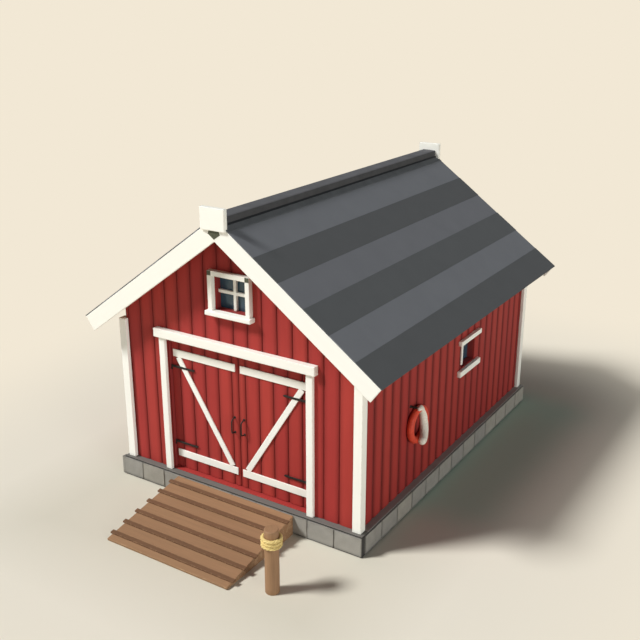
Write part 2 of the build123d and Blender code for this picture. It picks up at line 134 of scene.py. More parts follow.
def pattern(tree, coords, sizesMm, detail, crisp=0.5):
    # noise whose features have these sizes in millimetres along the three axes of the coordinates
    scaled = addNode(tree, "Mapping", {"Vector": coords, "Scale": tuple(1000.0 / s for s in sizesMm)})
    return addNode(tree, "TexNoise", {"Vector": scaled, "Scale": 1.0, "Detail": detail, "Roughness": crisp})


def tonedColour(tree, look, noises):
    # each board or block has its tone between two colours, and two noises (noise, from, to, depth) darken it
    tone = addNode(tree, "Attribute", attribute_name="tone")
    cool, warm = (hexToLinear(text) for text in look["toneHex"])
    body = addNode(tree, "Mix", {0: (tone, "Fac"), 6: cool, 7: warm}, data_type="RGBA")
    shades = [addNode(tree, "MapRange", {"Value": noise, "From Min": low, "From Max": high, "To Min": 1.0 - depth})
              for noise, low, high, depth in noises]
    both = addNode(tree, "Math", {0: shades[0], 1: shades[1]}, operation="MULTIPLY")
    return addNode(tree, "Mix", {0: both, 6: hexToLinear(look["deepHex"]), 7: body}, data_type="RGBA")


def finishSurface(tree, look, colour, relief, roughSpan):
    # painted shade darkens the colour where the attribute says, and roughness and bump follow the relief
    if "dirt" in look:
        hollow = addNode(tree, "Attribute", attribute_name="hollow")
        dirt = addNode(tree, "MapRange", {"Value": (hollow, "Fac"), "To Max": look["dirt"]})
        colour = addNode(tree, "Mix", {0: dirt, 6: colour, 7: hexToLinear(look["dirtHex"])}, data_type="RGBA")
    rough = addNode(tree, "MapRange", {"Value": relief, "From Min": 0.2, "From Max": 0.8,
                                       "To Min": look["rough"] + roughSpan[0],
                                       "To Max": look["rough"] + roughSpan[1]})
    bump = addNode(tree, "Bump", {"Height": relief, "Strength": look["bump"], "Distance": look["bumpMm"] / 1000.0})
    shader = addNode(tree, "BsdfPrincipled", {"Base Color": colour, "Roughness": rough, "Normal": bump,
                                              "Metallic": look.get("metallic", 0.0),
                                              "Specular IOR Level": look.get("sheen", 0.5)})
    addNode(tree, "OutputMaterial", {"Surface": shader})


def timberFinish(name, look):
    # timber along the board: streaks run with the grain, and each board has its own place in the pattern. Paint
    # hides most of the grain and wears a little on the arrises
    mat, tree = startMaterial(name)
    grain = addNode(tree, "Attribute", attribute_name="grain")
    arris = addNode(tree, "Attribute", attribute_name="arris")
    fine = pattern(tree, (grain, "Vector"), look["streakMm"], 4.0, 0.6)
    broad = pattern(tree, (grain, "Vector"), look["patchMm"], 2.0)
    rubbed = pattern(tree, (grain, "Vector"), (look["wearMm"],) * 3, 3.0)
    toned = tonedColour(tree, look, ((broad, 0.3, 0.7, look["patchDepth"]), (fine, 0.35, 0.65, look["streakDepth"])))
    spot = addNode(tree, "MapRange", {"Value": rubbed, "From Min": 0.5, "From Max": 0.62, "To Max": look["wear"]})
    wear = addNode(tree, "Math", {0: spot, 1: (arris, "Fac")}, operation="MULTIPLY")
    worn = addNode(tree, "Mix", {0: wear, 6: toned, 7: hexToLinear(look["wornHex"])}, data_type="RGBA")
    finishSurface(tree, look, worn, fine, (-0.07, 0.07))
    return mat


def mineralFinish(name, look):
    # stone, mortar or felt in object space: grains too fine to see are drawn as specks a few millimetres wide
    mat, tree = startMaterial(name)
    where = addNode(tree, "TexCoord")
    speck = pattern(tree, (where, "Object"), (look["speckMm"],) * 3, 3.0, 0.7)
    cloud = pattern(tree, (where, "Object"), (look["cloudMm"],) * 3, 3.0)
    toned = tonedColour(tree, look, ((cloud, 0.3, 0.7, look["cloudDepth"]), (speck, 0.3, 0.7, look["speckDepth"])))
    finishSurface(tree, look, toned, speck, (-0.06, 0.06))
    return mat


def metalFinish(name, look):
    # metal or moulded skin in object space: soft mottling, with roughness that follows it
    mat, tree = startMaterial(name)
    where = addNode(tree, "TexCoord")
    mottle = pattern(tree, (where, "Object"), (look["mottleMm"],) * 3, 4.0, 0.6)
    share = addNode(tree, "MapRange", {"Value": mottle, "From Min": 0.35, "From Max": 0.65})
    colour = addNode(tree, "Mix", {0: share, 6: hexToLinear(look["deepHex"]), 7: hexToLinear(look["mainHex"])},
                     data_type="RGBA")
    finishSurface(tree, look, colour, mottle, (0.1, -0.06))
    return mat


# iron-oxide red paint brushed on sawn boards: flat, a little chalky, streaked along the board
redPaint = {"streakMm": (9, 9, 420), "patchMm": (160, 160, 700), "wearMm": 60, "wear": 0.0, "bump": 0.2, "bumpMm": 1.0}
ironOxideBoards = timberFinish("ironOxidePaintedBoards", {
    **redPaint, "toneHex": ("#A53430", "#B13D34"), "deepHex": "#7A1E1E", "wornHex": "#B65A49", "wear": 0.3,
    "streakDepth": 0.16, "patchDepth": 0.14, "rough": 0.72, "bump": 0.25, "bumpMm": 1.2, "sheen": 0.3,
    # the darker red laid on by the joints is painted shade
    "dirt": 0.9, "dirtHex": "#5A0C09"})
# the same paint, nearly black red, on the strips behind the grooves: painted shadow in the joints
grooveShadowPaint = timberFinish("paintedGrooveShadow", {
    **redPaint, "toneHex": ("#540F0C", "#5B110E"), "deepHex": "#3B0A09", "wornHex": "#5B110E",
    "streakMm": (9, 9, 300), "streakDepth": 0.25, "patchDepth": 0.2, "rough": 0.85, "sheen": 0.15})
# the same paint on the reveals and on what the boards are nailed to
ironOxideBacking = timberFinish("ironOxidePaintedBacking", {
    **redPaint, "toneHex": ("#8E2A27", "#8E2A27"), "deepHex": "#641918", "wornHex": "#8E2A27",
    "streakDepth": 0.2, "patchDepth": 0.15, "rough": 0.75})
# cream-white linseed oil paint brushed on planed trim: soft sheen, faint brush lines, arrises rubbed
linseedCreamTrim = timberFinish("linseedCreamPaintedTrim", {
    "toneHex": ("#F3F3EC", "#F5F4EA"), "deepHex": "#E4E1D6", "wornHex": "#D2CAB6",
    "streakMm": (6, 6, 300), "patchMm": (120, 120, 600), "streakDepth": 0.10, "patchDepth": 0.10,
    "wearMm": 45, "wear": 0.30, "rough": 0.5, "bump": 0.18, "bumpMm": 0.8})
# planed larch decking gone tan in the weather, grain open and matt
weatheredDecking = timberFinish("weatheredLarchDecking", {
    "toneHex": ("#967150", "#9D7855"), "deepHex": "#6D5136", "wornHex": "#BA9B78",
    "streakMm": (7, 7, 520), "patchMm": (90, 90, 900), "streakDepth": 0.28, "patchDepth": 0.18,
    "wearMm": 50, "wear": 0.4, "rough": 0.72, "bump": 0.4, "bumpMm": 1.6})
# sawn hardwood battens, darker and rougher so that feet hold
sawnBattens = timberFinish("sawnHardwoodBattens", {
    "toneHex": ("#6C4B2F", "#755134"), "deepHex": "#4A311D", "wornHex": "#9C7856",
    "streakMm": (6, 6, 380), "patchMm": (80, 80, 600), "streakDepth": 0.3, "patchDepth": 0.2,
    "wearMm": 40, "wear": 0.5, "rough": 0.78, "bump": 0.45, "bumpMm": 1.6})
# peeled and turned oak mooring post, oiled, grain along the trunk
turnedOakPost = timberFinish("turnedOakMooringPost", {
    "toneHex": ("#9C7757", "#A5805D"), "deepHex": "#6C4E31", "wornHex": "#B3926E",
    "streakMm": (8, 8, 420), "patchMm": (70, 70, 500), "streakDepth": 0.3, "patchDepth": 0.2,
    "wearMm": 40, "wear": 0.5, "rough": 0.66, "bump": 0.4, "bumpMm": 1.6})
# bare spruce lining, roof boards and floor seen through the open doors
bareSpruce = timberFinish("bareSpruceLining", {
    "toneHex": ("#B5915F", "#C4A070"), "deepHex": "#8B683F", "wornHex": "#CDB084",
    "streakMm": (8, 8, 600), "patchMm": (110, 110, 1000), "streakDepth": 0.25, "patchDepth": 0.18,
    "wearMm": 60, "wear": 0.3, "rough": 0.7, "bump": 0.35, "bumpMm": 1.4})
# split grey granite facing: matt, specked, each block a shade apart. Its dark second colour is painted shade
# by the joints, along the top and at the foot
splitGranite = mineralFinish("splitGraniteFacing", {
    "toneHex": ("#9A9790", "#AAA599"), "deepHex": "#5F5D58", "speckMm": 7, "cloudMm": 160,
    "speckDepth": 0.30, "cloudDepth": 0.22, "rough": 0.82, "bump": 0.5, "bumpMm": 2.5,
    "dirt": 0.85, "dirtHex": "#3A3834"})
# trowelled mortar core and ledge behind the blocks, darker than the stone where its second colour lies: that
# colour is painted shade on the sunlit sides, and the shaded sides keep the paler one as painted light
mortar = {"speckMm": 5, "cloudMm": 220, "speckDepth": 0.3, "cloudDepth": 0.25, "bump": 0.4, "bumpMm": 1.5}
trowelledMortar = mineralFinish("trowelledMortarCore", {
    **mortar, "toneHex": ("#9E9B95", "#9E9B95"), "deepHex": "#7A7772", "rough": 0.88,
    "dirt": 1.0, "dirtHex": "#67645F"})
# raked mortar deep in the joints, damp and nearly black
jointMortar = mineralFinish("rakedJointMortar", {
    **mortar, "toneHex": ("#3F3D3A", "#3F3D3A"), "deepHex": "#292826", "rough": 0.9})
# slate-surfaced bitumen felt in two shades: fine mineral grit, no gloss
slateFelt = {"speckMm": 6, "cloudMm": 420, "speckDepth": 0.26, "cloudDepth": 0.12, "rough": 0.9, "bump": 0.45,
             "bumpMm": 1.5}
slateFeltLight = mineralFinish("slateGritFeltLight", {
    **slateFelt, "toneHex": ("#66686D", "#6B6E73"), "deepHex": "#4C4F53"})
slateFeltDark = mineralFinish("slateGritFeltDark", {
    **slateFelt, "toneHex": ("#4D4F51", "#525557"), "deepHex": "#36393B"})
# folded steel ridge in charcoal coil coating: satin, with faint oil canning. Its near-black second colour is
# painted shade on the cap's sides and under it
coatedSteel = {"mottleMm": 260, "rough": 0.7, "bump": 0.15, "bumpMm": 1.5}
foldedRidgeSteel = metalFinish("coilCoatedRidgeSteel", {
    **coatedSteel, "mainHex": "#5A5A5D", "deepHex": "#515153", "dirt": 1.0, "dirtHex": "#1F2226"})
# flashing strip under the cap, rolled from the same steel and painted paler: painted light in the cap's shadow
flashingPaintedPaler = metalFinish("rolledRidgeFlashing", {**coatedSteel, "mainHex": "#5E6164", "deepHex": "#565A5C"})
# forged iron fittings blacked with linseed oil: dark, dull, hammered
blackedIron = metalFinish("oilBlackedForgedIron", {
    "mainHex": "#453F3C", "deepHex": "#2E2A28", "mottleMm": 14, "metallic": 0.75, "rough": 0.55,
    "bump": 0.4, "bumpMm": 1.0})
# weathered zinc plates: grey green and matt
weatheredZinc = metalFinish("weatheredZincPlate", {
    "mainHex": "#616453", "deepHex": "#505343", "mottleMm": 30, "metallic": 0.4, "rough": 0.6,
    "bump": 0.15, "bumpMm": 0.5})
# moulded polyethylene lifebuoy shell in signal orange: smooth, slightly chalked by the sun
mouldedOrangeShell = metalFinish("mouldedOrangeBuoyShell", {
    "mainHex": "#D9482A", "deepHex": "#C23B24", "mottleMm": 90, "rough": 0.62, "bump": 0.1, "bumpMm": 0.6})
# white painted canvas sleeve on the other half of the ring
paintedCanvasSleeve = metalFinish("paintedCanvasBuoySleeve", {
    "mainHex": "#F2EEE2", "deepHex": "#DDD6C6", "mottleMm": 24, "rough": 0.62, "bump": 0.25, "bumpMm": 0.8})

glass = {"toneHex": ("#2A4757", "#47687C"), "rippleMm": (180, 180, 420), "rough": 0.08, "ior": 1.5, "clear": 0.25,
         "bump": 0.3, "bumpMm": 4.0}
yarn = {"toneHex": ("#C9AC63", "#F0DC9A"), "yarnMm": (4, 4, 60), "rough": 0.85, "bump": 0.5, "bumpMm": 1.5}


def drawnGlassFinish():
    # old drawn window glass: nearly black blue from outside, with a slow ripple that bends its reflections
    mat, tree = startMaterial("drawnWindowGlass")
    wave = pattern(tree, (addNode(tree, "TexCoord"), "Object"), glass["rippleMm"], 1.0)
    dark, pale = (hexToLinear(text) for text in glass["toneHex"])
    # the colour runs from nearly black to a paler blue along the ripple: a painted reflection
    tint = addNode(tree, "Mix", {0: wave, 6: dark, 7: pale}, data_type="RGBA")
    bump = addNode(tree, "Bump", {"Height": wave, "Strength": glass["bump"], "Distance": glass["bumpMm"] / 1000.0})
    shader = addNode(tree, "BsdfPrincipled", {"Base Color": tint, "Roughness": glass["rough"], "IOR": glass["ior"],
                                              "Transmission Weight": glass["clear"], "Normal": bump})
    addNode(tree, "OutputMaterial", {"Surface": shader})
    return mat


def laidRopeFinish():
    # three-strand hemp rope: yarns lie along each strand, so the lines follow the strand's own coordinates
    mat, tree = startMaterial("laidHempRope")
    grain = addNode(tree, "Attribute", attribute_name="grain")
    lines = pattern(tree, (grain, "Vector"), yarn["yarnMm"], 3.0)
    share = addNode(tree, "MapRange", {"Value": lines, "From Min": 0.3, "From Max": 0.7})
    dark, pale = (hexToLinear(text) for text in yarn["toneHex"])
    colour = addNode(tree, "Mix", {0: share, 6: dark, 7: pale}, data_type="RGBA")
    bump = addNode(tree, "Bump", {"Height": lines, "Strength": yarn["bump"], "Distance": yarn["bumpMm"] / 1000.0})
    shader = addNode(tree, "BsdfPrincipled", {"Base Color": colour, "Roughness": yarn["rough"], "Normal": bump})
    addNode(tree, "OutputMaterial", {"Surface": shader})
    return mat


drawnGlass = drawnGlassFinish()
laidRope = laidRopeFinish()
print("materials")

# shapes: closed outlines carried along lines, and surfaces of turning

east, north, up = np.eye(3)


def unit(v):
    # each vector divided by its own length
    v = np.asarray(v, float)
    return v / np.linalg.norm(v, axis=-1, keepdims=True)


def lengthAlong(path):
    # distance from the first point of a path to each of its points
    return np.concatenate([[0], np.cumsum(np.linalg.norm(np.diff(path, axis=0), axis=1))])


def roundLoop(corners, radius, steps=3, guard=0.008):
    # closed outline, each corner an arc that touches both sides, with a guard point on the side beyond each end.
    # The second result is one on the arcs and nought on the flats
    pts = np.asarray(corners, float)
    if np.sum(pts[:, 0] * np.roll(pts[:, 1], -1) - np.roll(pts[:, 0], -1) * pts[:, 1]) < 0:
        pts = pts[::-1]
    radii = np.broadcast_to(np.asarray(radius, float), len(pts))
    places, marks = [], []
    for p, before, after, r in zip(pts, np.roll(pts, 1, 0), np.roll(pts, -1, 0), radii):
        toBefore, toAfter = before - p, after - p
        near = min(np.linalg.norm(toBefore), np.linalg.norm(toAfter))
        toBefore, toAfter = unit(toBefore), unit(toAfter)
        half = math.acos(np.clip(toBefore @ toAfter, -1, 1)) / 2
        reach = min(r / math.tan(half), 0.4 * near)
        r = reach * math.tan(half)
        margin = min(reach + guard, 0.46 * near)
        if r < 1e-6:
            places.append([p])
            marks.append([0.0])
            continue
        centre = p + unit(toBefore + toAfter) * r / math.sin(half)
        first = p + toBefore * reach - centre
        last = p + toAfter * reach - centre
        start = math.atan2(first[1], first[0])
        sweep = (math.atan2(last[1], last[0]) - start + math.pi) % (2 * math.pi) - math.pi
        angles = start + sweep * np.linspace(0, 1, steps + 1)
        arc = centre + r * np.stack([np.cos(angles), np.sin(angles)], 1)
        places += [[p + toBefore * margin], arc, [p + toAfter * margin]]
        marks += [[0.0], np.ones(steps + 1), [0.0]]
    return np.concatenate(places), np.concatenate(marks)


def rectangle(a0, a1, b0, b1, radius=0.0, guard=0.008):
    # closed outline from a0 to a1 and from b0 to b1, with its corners rounded by the radius
    return roundLoop([(a0, b0), (a1, b0), (a1, b1), (a0, b1)], radius, guard=guard)


def insetLoop(loop, depth):
    # moves an anticlockwise outline inwards by depth, square to its sides
    edge = np.roll(loop, -1, 0) - loop
    edge /= np.maximum(np.linalg.norm(edge, axis=1, keepdims=True), 1e-9)
    normal = np.stack([-edge[:, 1], edge[:, 0]], 1)
    both = normal + np.roll(normal, 1, 0)
    both /= np.maximum((both * both).sum(1, keepdims=True), 1e-6) / 2
    return loop + both * depth


def ringFaces(rings, count, closedAlong=False):
    # quads between neighbouring rings of a grid that is closed round each ring
    j = np.arange(rings if closedAlong else rings - 1)[:, None]
    i = np.arange(count)[None, :]
    nextJ, nextI = (j + 1) % rings, (i + 1) % count
    quads = np.stack([j * count + i, j * count + nextI, nextJ * count + nextI, nextJ * count + i], -1)
    return quads.reshape(-1, 4).tolist()


def cappedFaces(rings, count):
    # the same with one flat face over each end
    ring = list(range(count))
    return [*ringFaces(rings, count), ring[::-1], [v + (rings - 1) * count for v in ring]]


def pointedFaces(rings, count):
    # the same with each end closed on a point: both points come after the rings
    i = np.arange(count)
    nextI, last, point = (i + 1) % count, (rings - 1) * count, np.full(count, rings * count)
    fans = np.concatenate([np.stack([nextI, i, point], 1), np.stack([last + i, last + nextI, point + 1], 1)])
    return [*ringFaces(rings, count), *fans.tolist()]


def newShape(verts, faces, grain, tone=0.5, arris=0.0):
    # a closed surface with what its material reads at each vertex
    count = len(verts)
    return {"verts": verts, "faces": faces, "grain": grain, "tone": np.full(count, tone),
            "arris": np.broadcast_to(arris, count), "hollow": np.zeros(count)}


def stick(outline, axes, low, high, edge=0.004, bow=0.0, stations=3, tone=None, origin=(0, 0, 0)):
    # a piece of timber: the outline (a, b) stands on the first two axes and is carried along the third from the cut
    # low to the cut high. A cut is a distance, or (distance, slope) where it grows by slope for each metre of a. The
    # rings at both ends are inset to round the arris, and the middle rings wander by bow
    loop, marks = outline
    across, out, along = (np.asarray(v, float) for v in axes)
    low, high = (cut if isinstance(cut, tuple) else (cut, 0.0) for cut in (low, high))
    roundIn = np.array([0.9, 0.3, 0.0, 0.0]) * edge
    roundUp = np.array([0.0, 0.3, 0.9, 2.9]) * edge
    middle = np.linspace(0, 1, stations + 2)[1:-1]
    inset = np.concatenate([roundIn, middle * 0, roundIn[::-1]])
    share = np.concatenate([roundIn * 0, middle, roundIn * 0 + 1])[:, None]
    shift = np.concatenate([roundUp, middle * 0, -roundUp[::-1]])[:, None]
    rings = np.stack([insetLoop(loop, d) for d in inset])
    start = low[0] + low[1] * rings[..., 0]
    end = high[0] + high[1] * rings[..., 0]
    s = start * (1 - share) + end * share + shift
    sway = dice.normal(0, 1, (2, len(inset))) * bow
    sway[:, :4] = sway[:, 3:4]
    sway[:, -4:] = sway[:, -4:-3]
    a = rings[..., 0] + sway[0][:, None]
    b = rings[..., 1] + sway[1][:, None]
    verts = np.asarray(origin, float) + a[..., None] * across + b[..., None] * out + s[..., None] * along
    arris = np.maximum(np.broadcast_to(marks, s.shape), (inset > 0)[:, None])
    grain = np.stack([a, b, s], -1) + dice.uniform(0, 40, 3)
    faces = cappedFaces(len(inset), len(loop))
    if np.dot(np.cross(across, out), along) < 0:
        faces = [face[::-1] for face in faces]
    return newShape(verts.reshape(-1, 3), faces, grain.reshape(-1, 3), dice.uniform(0, 1) if tone is None else tone,
                    arris.ravel())


def bar(corner0, corner1, edge=0.004, bow=0.0, lengthAxis=None, tone=None, stations=3):
    # a straight-sided piece between two corners, carried along its longest side
    low, high = np.minimum(corner0, corner1), np.maximum(corner0, corner1)
    axis = int(np.argmax(high - low)) if lengthAxis is None else lengthAxis
    a, b = [(1, 2), (2, 0), (0, 1)][axis]
    return stick(rectangle(low[a], high[a], low[b], high[b], edge), np.eye(3)[[a, b, axis]], low[axis], high[axis],
                 edge, bow, stations, tone)


def turned(profile, centre, axis=up, start=east, count=48, closed=False):
    # surface of turning: profile points (radius, height) go round the axis. A closed profile makes a ring, and an
    # open one starts and ends on the axis, where the pole is one point
    profile, centre = np.asarray(profile, float), np.asarray(centre, float)
    side = np.cross(axis, start)
    angle = np.arange(count) * 2 * math.pi / count
    spoke = np.cos(angle)[:, None] * start + np.sin(angle)[:, None] * side
    rings = profile if closed else profile[1:-1]
    verts = (centre + rings[:, None, :1] * spoke + rings[:, None, 1:] * axis).reshape(-1, 3)
    height = np.repeat(rings[:, 1], count)
    if closed:
        faces = ringFaces(len(rings), count, True)
    else:
        poles = profile[[0, -1], 1]
        verts = np.concatenate([verts, centre + poles[:, None] * axis])
        height = np.concatenate([height, poles])
        faces = pointedFaces(len(rings), count)
    around = verts - centre - height[:, None] * axis
    return newShape(verts, faces, np.stack([around @ start, around @ side, height], 1) + dice.uniform(0, 40, 3))


def tube(path, radius, count=12, hint=(0.13, 0.21, 0.97)):
    # round rod along a path: at each point a ring of its radius stands square to the path, counted from the side
    # that the hint gives, and both ends close on a point
    path, hint = np.asarray(path, float), np.asarray(hint, float)
    radius = np.broadcast_to(np.asarray(radius, float), len(path))
    ahead = unit(np.gradient(path, axis=0))
    second = unit(hint - (ahead @ hint)[:, None] * ahead)
    first = np.cross(second, ahead)
    angle = np.arange(count) * 2 * math.pi / count
    a, b = np.outer(radius, np.cos(angle)), np.outer(radius, np.sin(angle))
    run = lengthAlong(path)
    verts = path[:, None] + a[..., None] * first[:, None] + b[..., None] * second[:, None]
    grain = np.stack([a, b, np.broadcast_to(run[:, None], a.shape)], -1).reshape(-1, 3)
    grain = np.concatenate([grain, [[0, 0, 0], [0, 0, run[-1]]]]) + dice.uniform(0, 40, 3)
    return newShape(np.concatenate([verts.reshape(-1, 3), path[[0, -1]]]), pointedFaces(len(path), count), grain)


bodyOf = {node: body for body, nodes in frame["record"]["behaviour"]["bodies"].items() for node in nodes}


def assemble(node, groups, also=(), name=None, smoothAngle=35):
    # joins shapes into the piece that replaces a node: groups is a list of (material, shapes)
    name = name or node.split("_")[0] + "".join(word.capitalize() for word in node.split("_")[1:])
    mesh = bpy.data.meshes.new(name)
    shapes, faces, slots, base = [], [], [], 0
    for index, (material, members) in enumerate(groups):
        mesh.materials.append(material)
        for shape in members:
            faces += [[v + base for v in face] for face in shape["faces"]]
            slots += [index] * len(shape["faces"])
            base += len(shape["verts"])
            shapes.append(shape)
    mesh.from_pydata(np.concatenate([shape["verts"] for shape in shapes]).tolist(), [], faces)
    mesh.polygons.foreach_set("material_index", slots)
    for key in ("grain", "arris", "tone", "hollow"):
        kind, field = ("FLOAT_VECTOR", "vector") if key == "grain" else ("FLOAT", "value")
        values = np.concatenate([shape[key] for shape in shapes]).astype(np.float32)
        mesh.attributes.new(key, kind, "POINT").data.foreach_set(field, values.ravel())
    mesh.polygons.foreach_set("use_smooth", [True] * len(mesh.polygons))
    mesh.set_sharp_from_angle(angle=math.radians(smoothAngle))
    mesh.update()
    piece = intoScene(name, mesh)
    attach(piece, bodyOf[node])
    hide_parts(node, *also)


def corners(node):
    # the two opposite corners of a node's box, in metres
    low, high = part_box(node)
    return np.array(low), np.array(high)


# the main lines, read from the frame

wallLow, wallHigh = corners("back_wall")
wallX, wallY = wallHigh[:2]
roomY = wallLow[1]
roomX = wallX - (wallY - roomY)
plinthTop = corners("plinth_core")[1][2]
openHalf = corners("front_wall_gable")[1][0]
openTop = corners("front_wall_gable")[0][2]
roof = {
    "tan": 0.7213,                         # rise over run
    "apex": corners("ridge_flashing")[1][2],
    "eaveX": corners("roof_courses_dark")[1][0],
    "frontY": corners("roof_courses_dark")[0][1],
    "backY": corners("roof_courses_dark")[1][1],
}
roof["cos"] = 1 / math.hypot(1, roof["tan"])
roof["sin"] = roof["tan"] * roof["cos"]
slabLow, slabHigh = corners("roof_slab_right")
wallTopDrop = roof["apex"] - wallHigh[2]   # underside of the slab under the course plane
courseDrop = roof["apex"] - slabHigh[2]

# board walls: rounded boards over a painted backing, with a bare lining inside

cladding = {
    "gablePitch": 0.2925, "sidePitch": 0.297, "groove": 0.009, "board": 0.034, "backing": 0.03,
    "gableEnd": 0.001, "sideEnd": 0.03, "edge": 0.003, "bow": 0.0006, "camber": 0.09, "camberDeep": 0.014,
    # reach and strength of the painted shade by the board joints, stronger on the side walls
    "gableDirt": (0.09, 0.65), "sideDirt": (0.125, 1.0), "shadowStrip": 0.004,
    "liningPitch": 0.146, "liningBoard": 0.018, "liningGroove": 0.006, "liningLap": 0.002,
    "wholePitch": 50.0,                    # beyond any wall, for a layer whose only joint is in its middle
    "narrowest": 0.012, "shortest": 0.02,
}


def spans(low, high, holes, a0, a1):
    # what is left of the stretch low to high where holes (a0, a1, low, high) cross the strip a0 to a1
    left = [(low, high)]
    for h0, h1, hLow, hHigh in holes:
        if h0 < a1 - 1e-6 and h1 > a0 + 1e-6:
            left = [piece for l, h in left for piece in ((l, min(h, hLow)), (max(l, hHigh), h))
                    if piece[1] - piece[0] > cladding["shortest"]]
    return left


def camberedOutline(s0, s1, b0, b1, faceB, backB):
    # board b0 to b1, cut down to the strip s0 to s1: its face falls towards both long edges as a quarter ellipse
    width, deep = cladding["camber"], cladding["camberDeep"]
    run = width * (1 - np.cos(np.linspace(0, math.pi / 2, 7)))
    knots = np.concatenate([b0 + run, b1 - run])
    s = np.unique(np.concatenate([[s0, s1], knots[(knots > s0 + 0.002) & (knots < s1 - 0.002)]]))[::-1]
    t = np.clip(1 - np.minimum(s - b0, b1 - s) / width, 0, 1)
    face = np.stack([s, faceB - deep * (1 - np.sqrt(1 - t ** 2))], 1)
    return np.concatenate([[(s0, backB), (s1, backB)], face]), np.zeros(len(s) + 2)


def shadeByJoints(shape, axes, b0, b1, backB, dirt):
    # painted shade by the joints: its share falls from most at the board's own edges to nought inside them
    reach, most = dirt
    s, b = shape["verts"] @ axes[0], shape["verts"] @ axes[1]
    share = most * np.clip(1 - np.minimum(s - b0, b1 - s) / reach, 0, 1) ** 1.5
    shape["hollow"] = share * (b > backB + 0.001)
    return shape


def boardWall(a0, a1, pitch, groove, faceB, backB, bow, dirt, low, topAt, holes, axes):
    # strips of boards between a0 and a1 with joints on whole pitches, split at holes and at the ridge line. Boards
    # that stand in the weather are cambered and carry painted shade by the joints, the others are flat
    shapes = []
    joints = np.arange(math.floor(a0 / pitch), math.ceil(a1 / pitch) + 1) * pitch
    for j0, j1 in zip(joints[:-1], joints[1:]):
        b0, b1 = max(j0 + groove / 2, a0), min(j1 - groove / 2, a1)
        if b1 - b0 < cladding["narrowest"]:
            continue
        cuts = {m for hole in holes for m in hole[:2] if b0 + 0.004 < m < b1 - 0.004}
        cuts = sorted(cuts | {b0, b1})
        tone = dice.uniform(0, 1)
        for s0, s1 in zip(cuts[:-1], cuts[1:]):
            outline = camberedOutline(s0, s1, b0, b1, faceB, backB) if dirt else rectangle(s0, s1, backB, faceB)
            t0, t1 = topAt(s0), topAt(s1)
            slope = (t1 - t0) / (s1 - s0)
            for l, h in spans(low, max(t0, t1), holes, s0, s1):
                high = (t0 - slope * s0, slope) if h > min(t0, t1) - 1e-6 else h
                shape = stick(outline, axes, l, high, cladding["edge"], bow, 3, tone)
                shapes.append(shadeByJoints(shape, axes, b0, b1, backB, dirt) if dirt else shape)
    return shapes


def wall(node, stretches, order, face, room, pitch, dirt, low, holes, axes):
    # boards, the shadow in their grooves, the backing and the lining, drawn in this order for each stretch: a stretch
    # is the width outside, the width of the backing, the width inside and the line of its top
    c = cladding
    behind, inside = face - c["backing"], room + c["liningBoard"]
    layers = {"boards": [], "backing": [], "lining": [], "grooves": []}
    for outer, middle, inner, topAt in stretches:
        cut = {"boards": (*outer, pitch, c["groove"], face, face - c["board"], c["bow"], dirt),
               "grooves": (*outer, c["wholePitch"], 0.0, behind, behind - c["shadowStrip"], 0.0, None),
               "backing": (*middle, c["wholePitch"], 0.0, behind - c["shadowStrip"] / 2, inside - c["liningLap"],
                           0.0, None),
               "lining": (*inner, c["liningPitch"], c["liningGroove"], inside, room, 0.0, None)}
        for layer in order:
            layers[layer] += boardWall(*cut[layer], low, topAt, holes, axes)
    assemble(node, list(zip((ironOxideBoards, ironOxideBacking, bareSpruce, grooveShadowPaint), layers.values())))


def gable(node, ranges, low, holes, axes):
    # a gable wall is built in halves that meet on the ridge line, each with the slope of its side
    stretches = []
    for a0, a1 in ranges:
        slope = roof["tan"] * math.copysign(1, a0 + a1)
        stretches.append(((a0, a1), (a0, a1), (max(a0, -roomX), min(a1, roomX)),
                          lambda a, slope=slope: roof["apex"] - wallTopDrop - slope * a))
    wall(node, stretches, ("grooves", "boards", "backing", "lining"), wallY, roomY, cladding["gablePitch"],
         cladding["gableDirt"], low, holes, axes)


def sideWall(node, holes, axes):
    # one stretch from end to end, whose level top is where the slab's underside meets the wall's face
    eaves = roof["apex"] - wallTopDrop - roof["tan"] * wallX
    reach = wallY - cladding["sideEnd"]
    wall(node, [((-reach, reach), (-roomY, roomY), (-roomY, roomY), lambda a: eaves)],
         ("boards", "grooves", "backing", "lining"), wallX, roomX, cladding["sidePitch"], cladding["sideDirt"],
         plinthTop, holes, axes)


glassLow, glassHigh = corners("gable_window_glass")
windowHole = (glassLow[0], glassHigh[0], glassLow[2], glassHigh[2])
sideGlassLow, sideGlassHigh = corners("side_window_glass")
sideHole = (sideGlassLow[1], sideGlassHigh[1], sideGlassLow[2], sideGlassHigh[2])
edgeX = wallX - cladding["board"] - cladding["gableEnd"]
gable("front_wall_left", [(-edgeX, -openHalf)], plinthTop, [], (east, -north, up))
gable("front_wall_right", [(openHalf, edgeX)], plinthTop, [], (east, -north, up))
gable("front_wall_gable", [(-openHalf, 0), (0, openHalf)], openTop, [windowHole], (east, -north, up))
gable("back_wall", [(-edgeX, 0), (0, edgeX)], plinthTop, [], (-east, north, up))
sideWall("right_wall", [sideHole], (north, east, up))
sideWall("left_wall", [], (north, -east, up))
print("walls")

# corner posts: one squared timber each, halved over the corner of the walls

post = {"width": 0.154, "edge": 0.009, "bow": 0.0005}


def cornerPosts():
    # an L drawn in plan, carried upright at each of the four corners
    low, (x1, y1, top) = corners("corner_posts")
    x0, y0 = x1 - post["width"], y1 - post["width"]
    outline = roundLoop([(x0, wallY), (x0, y1), (x1, y1), (x1, y0), (wallX, y0), (wallX, wallY)],
                        [0.001, post["edge"], post["edge"], post["edge"], 0.001, 0.001])
    shapes = [stick(outline, (east * sx, north * sy, up), low[2], top, post["edge"], post["bow"], 4)
              for sx in (-1, 1) for sy in (-1, 1)]
    assemble("corner_posts", [(linseedCreamTrim, shapes)])


cornerPosts()
print("corner posts")
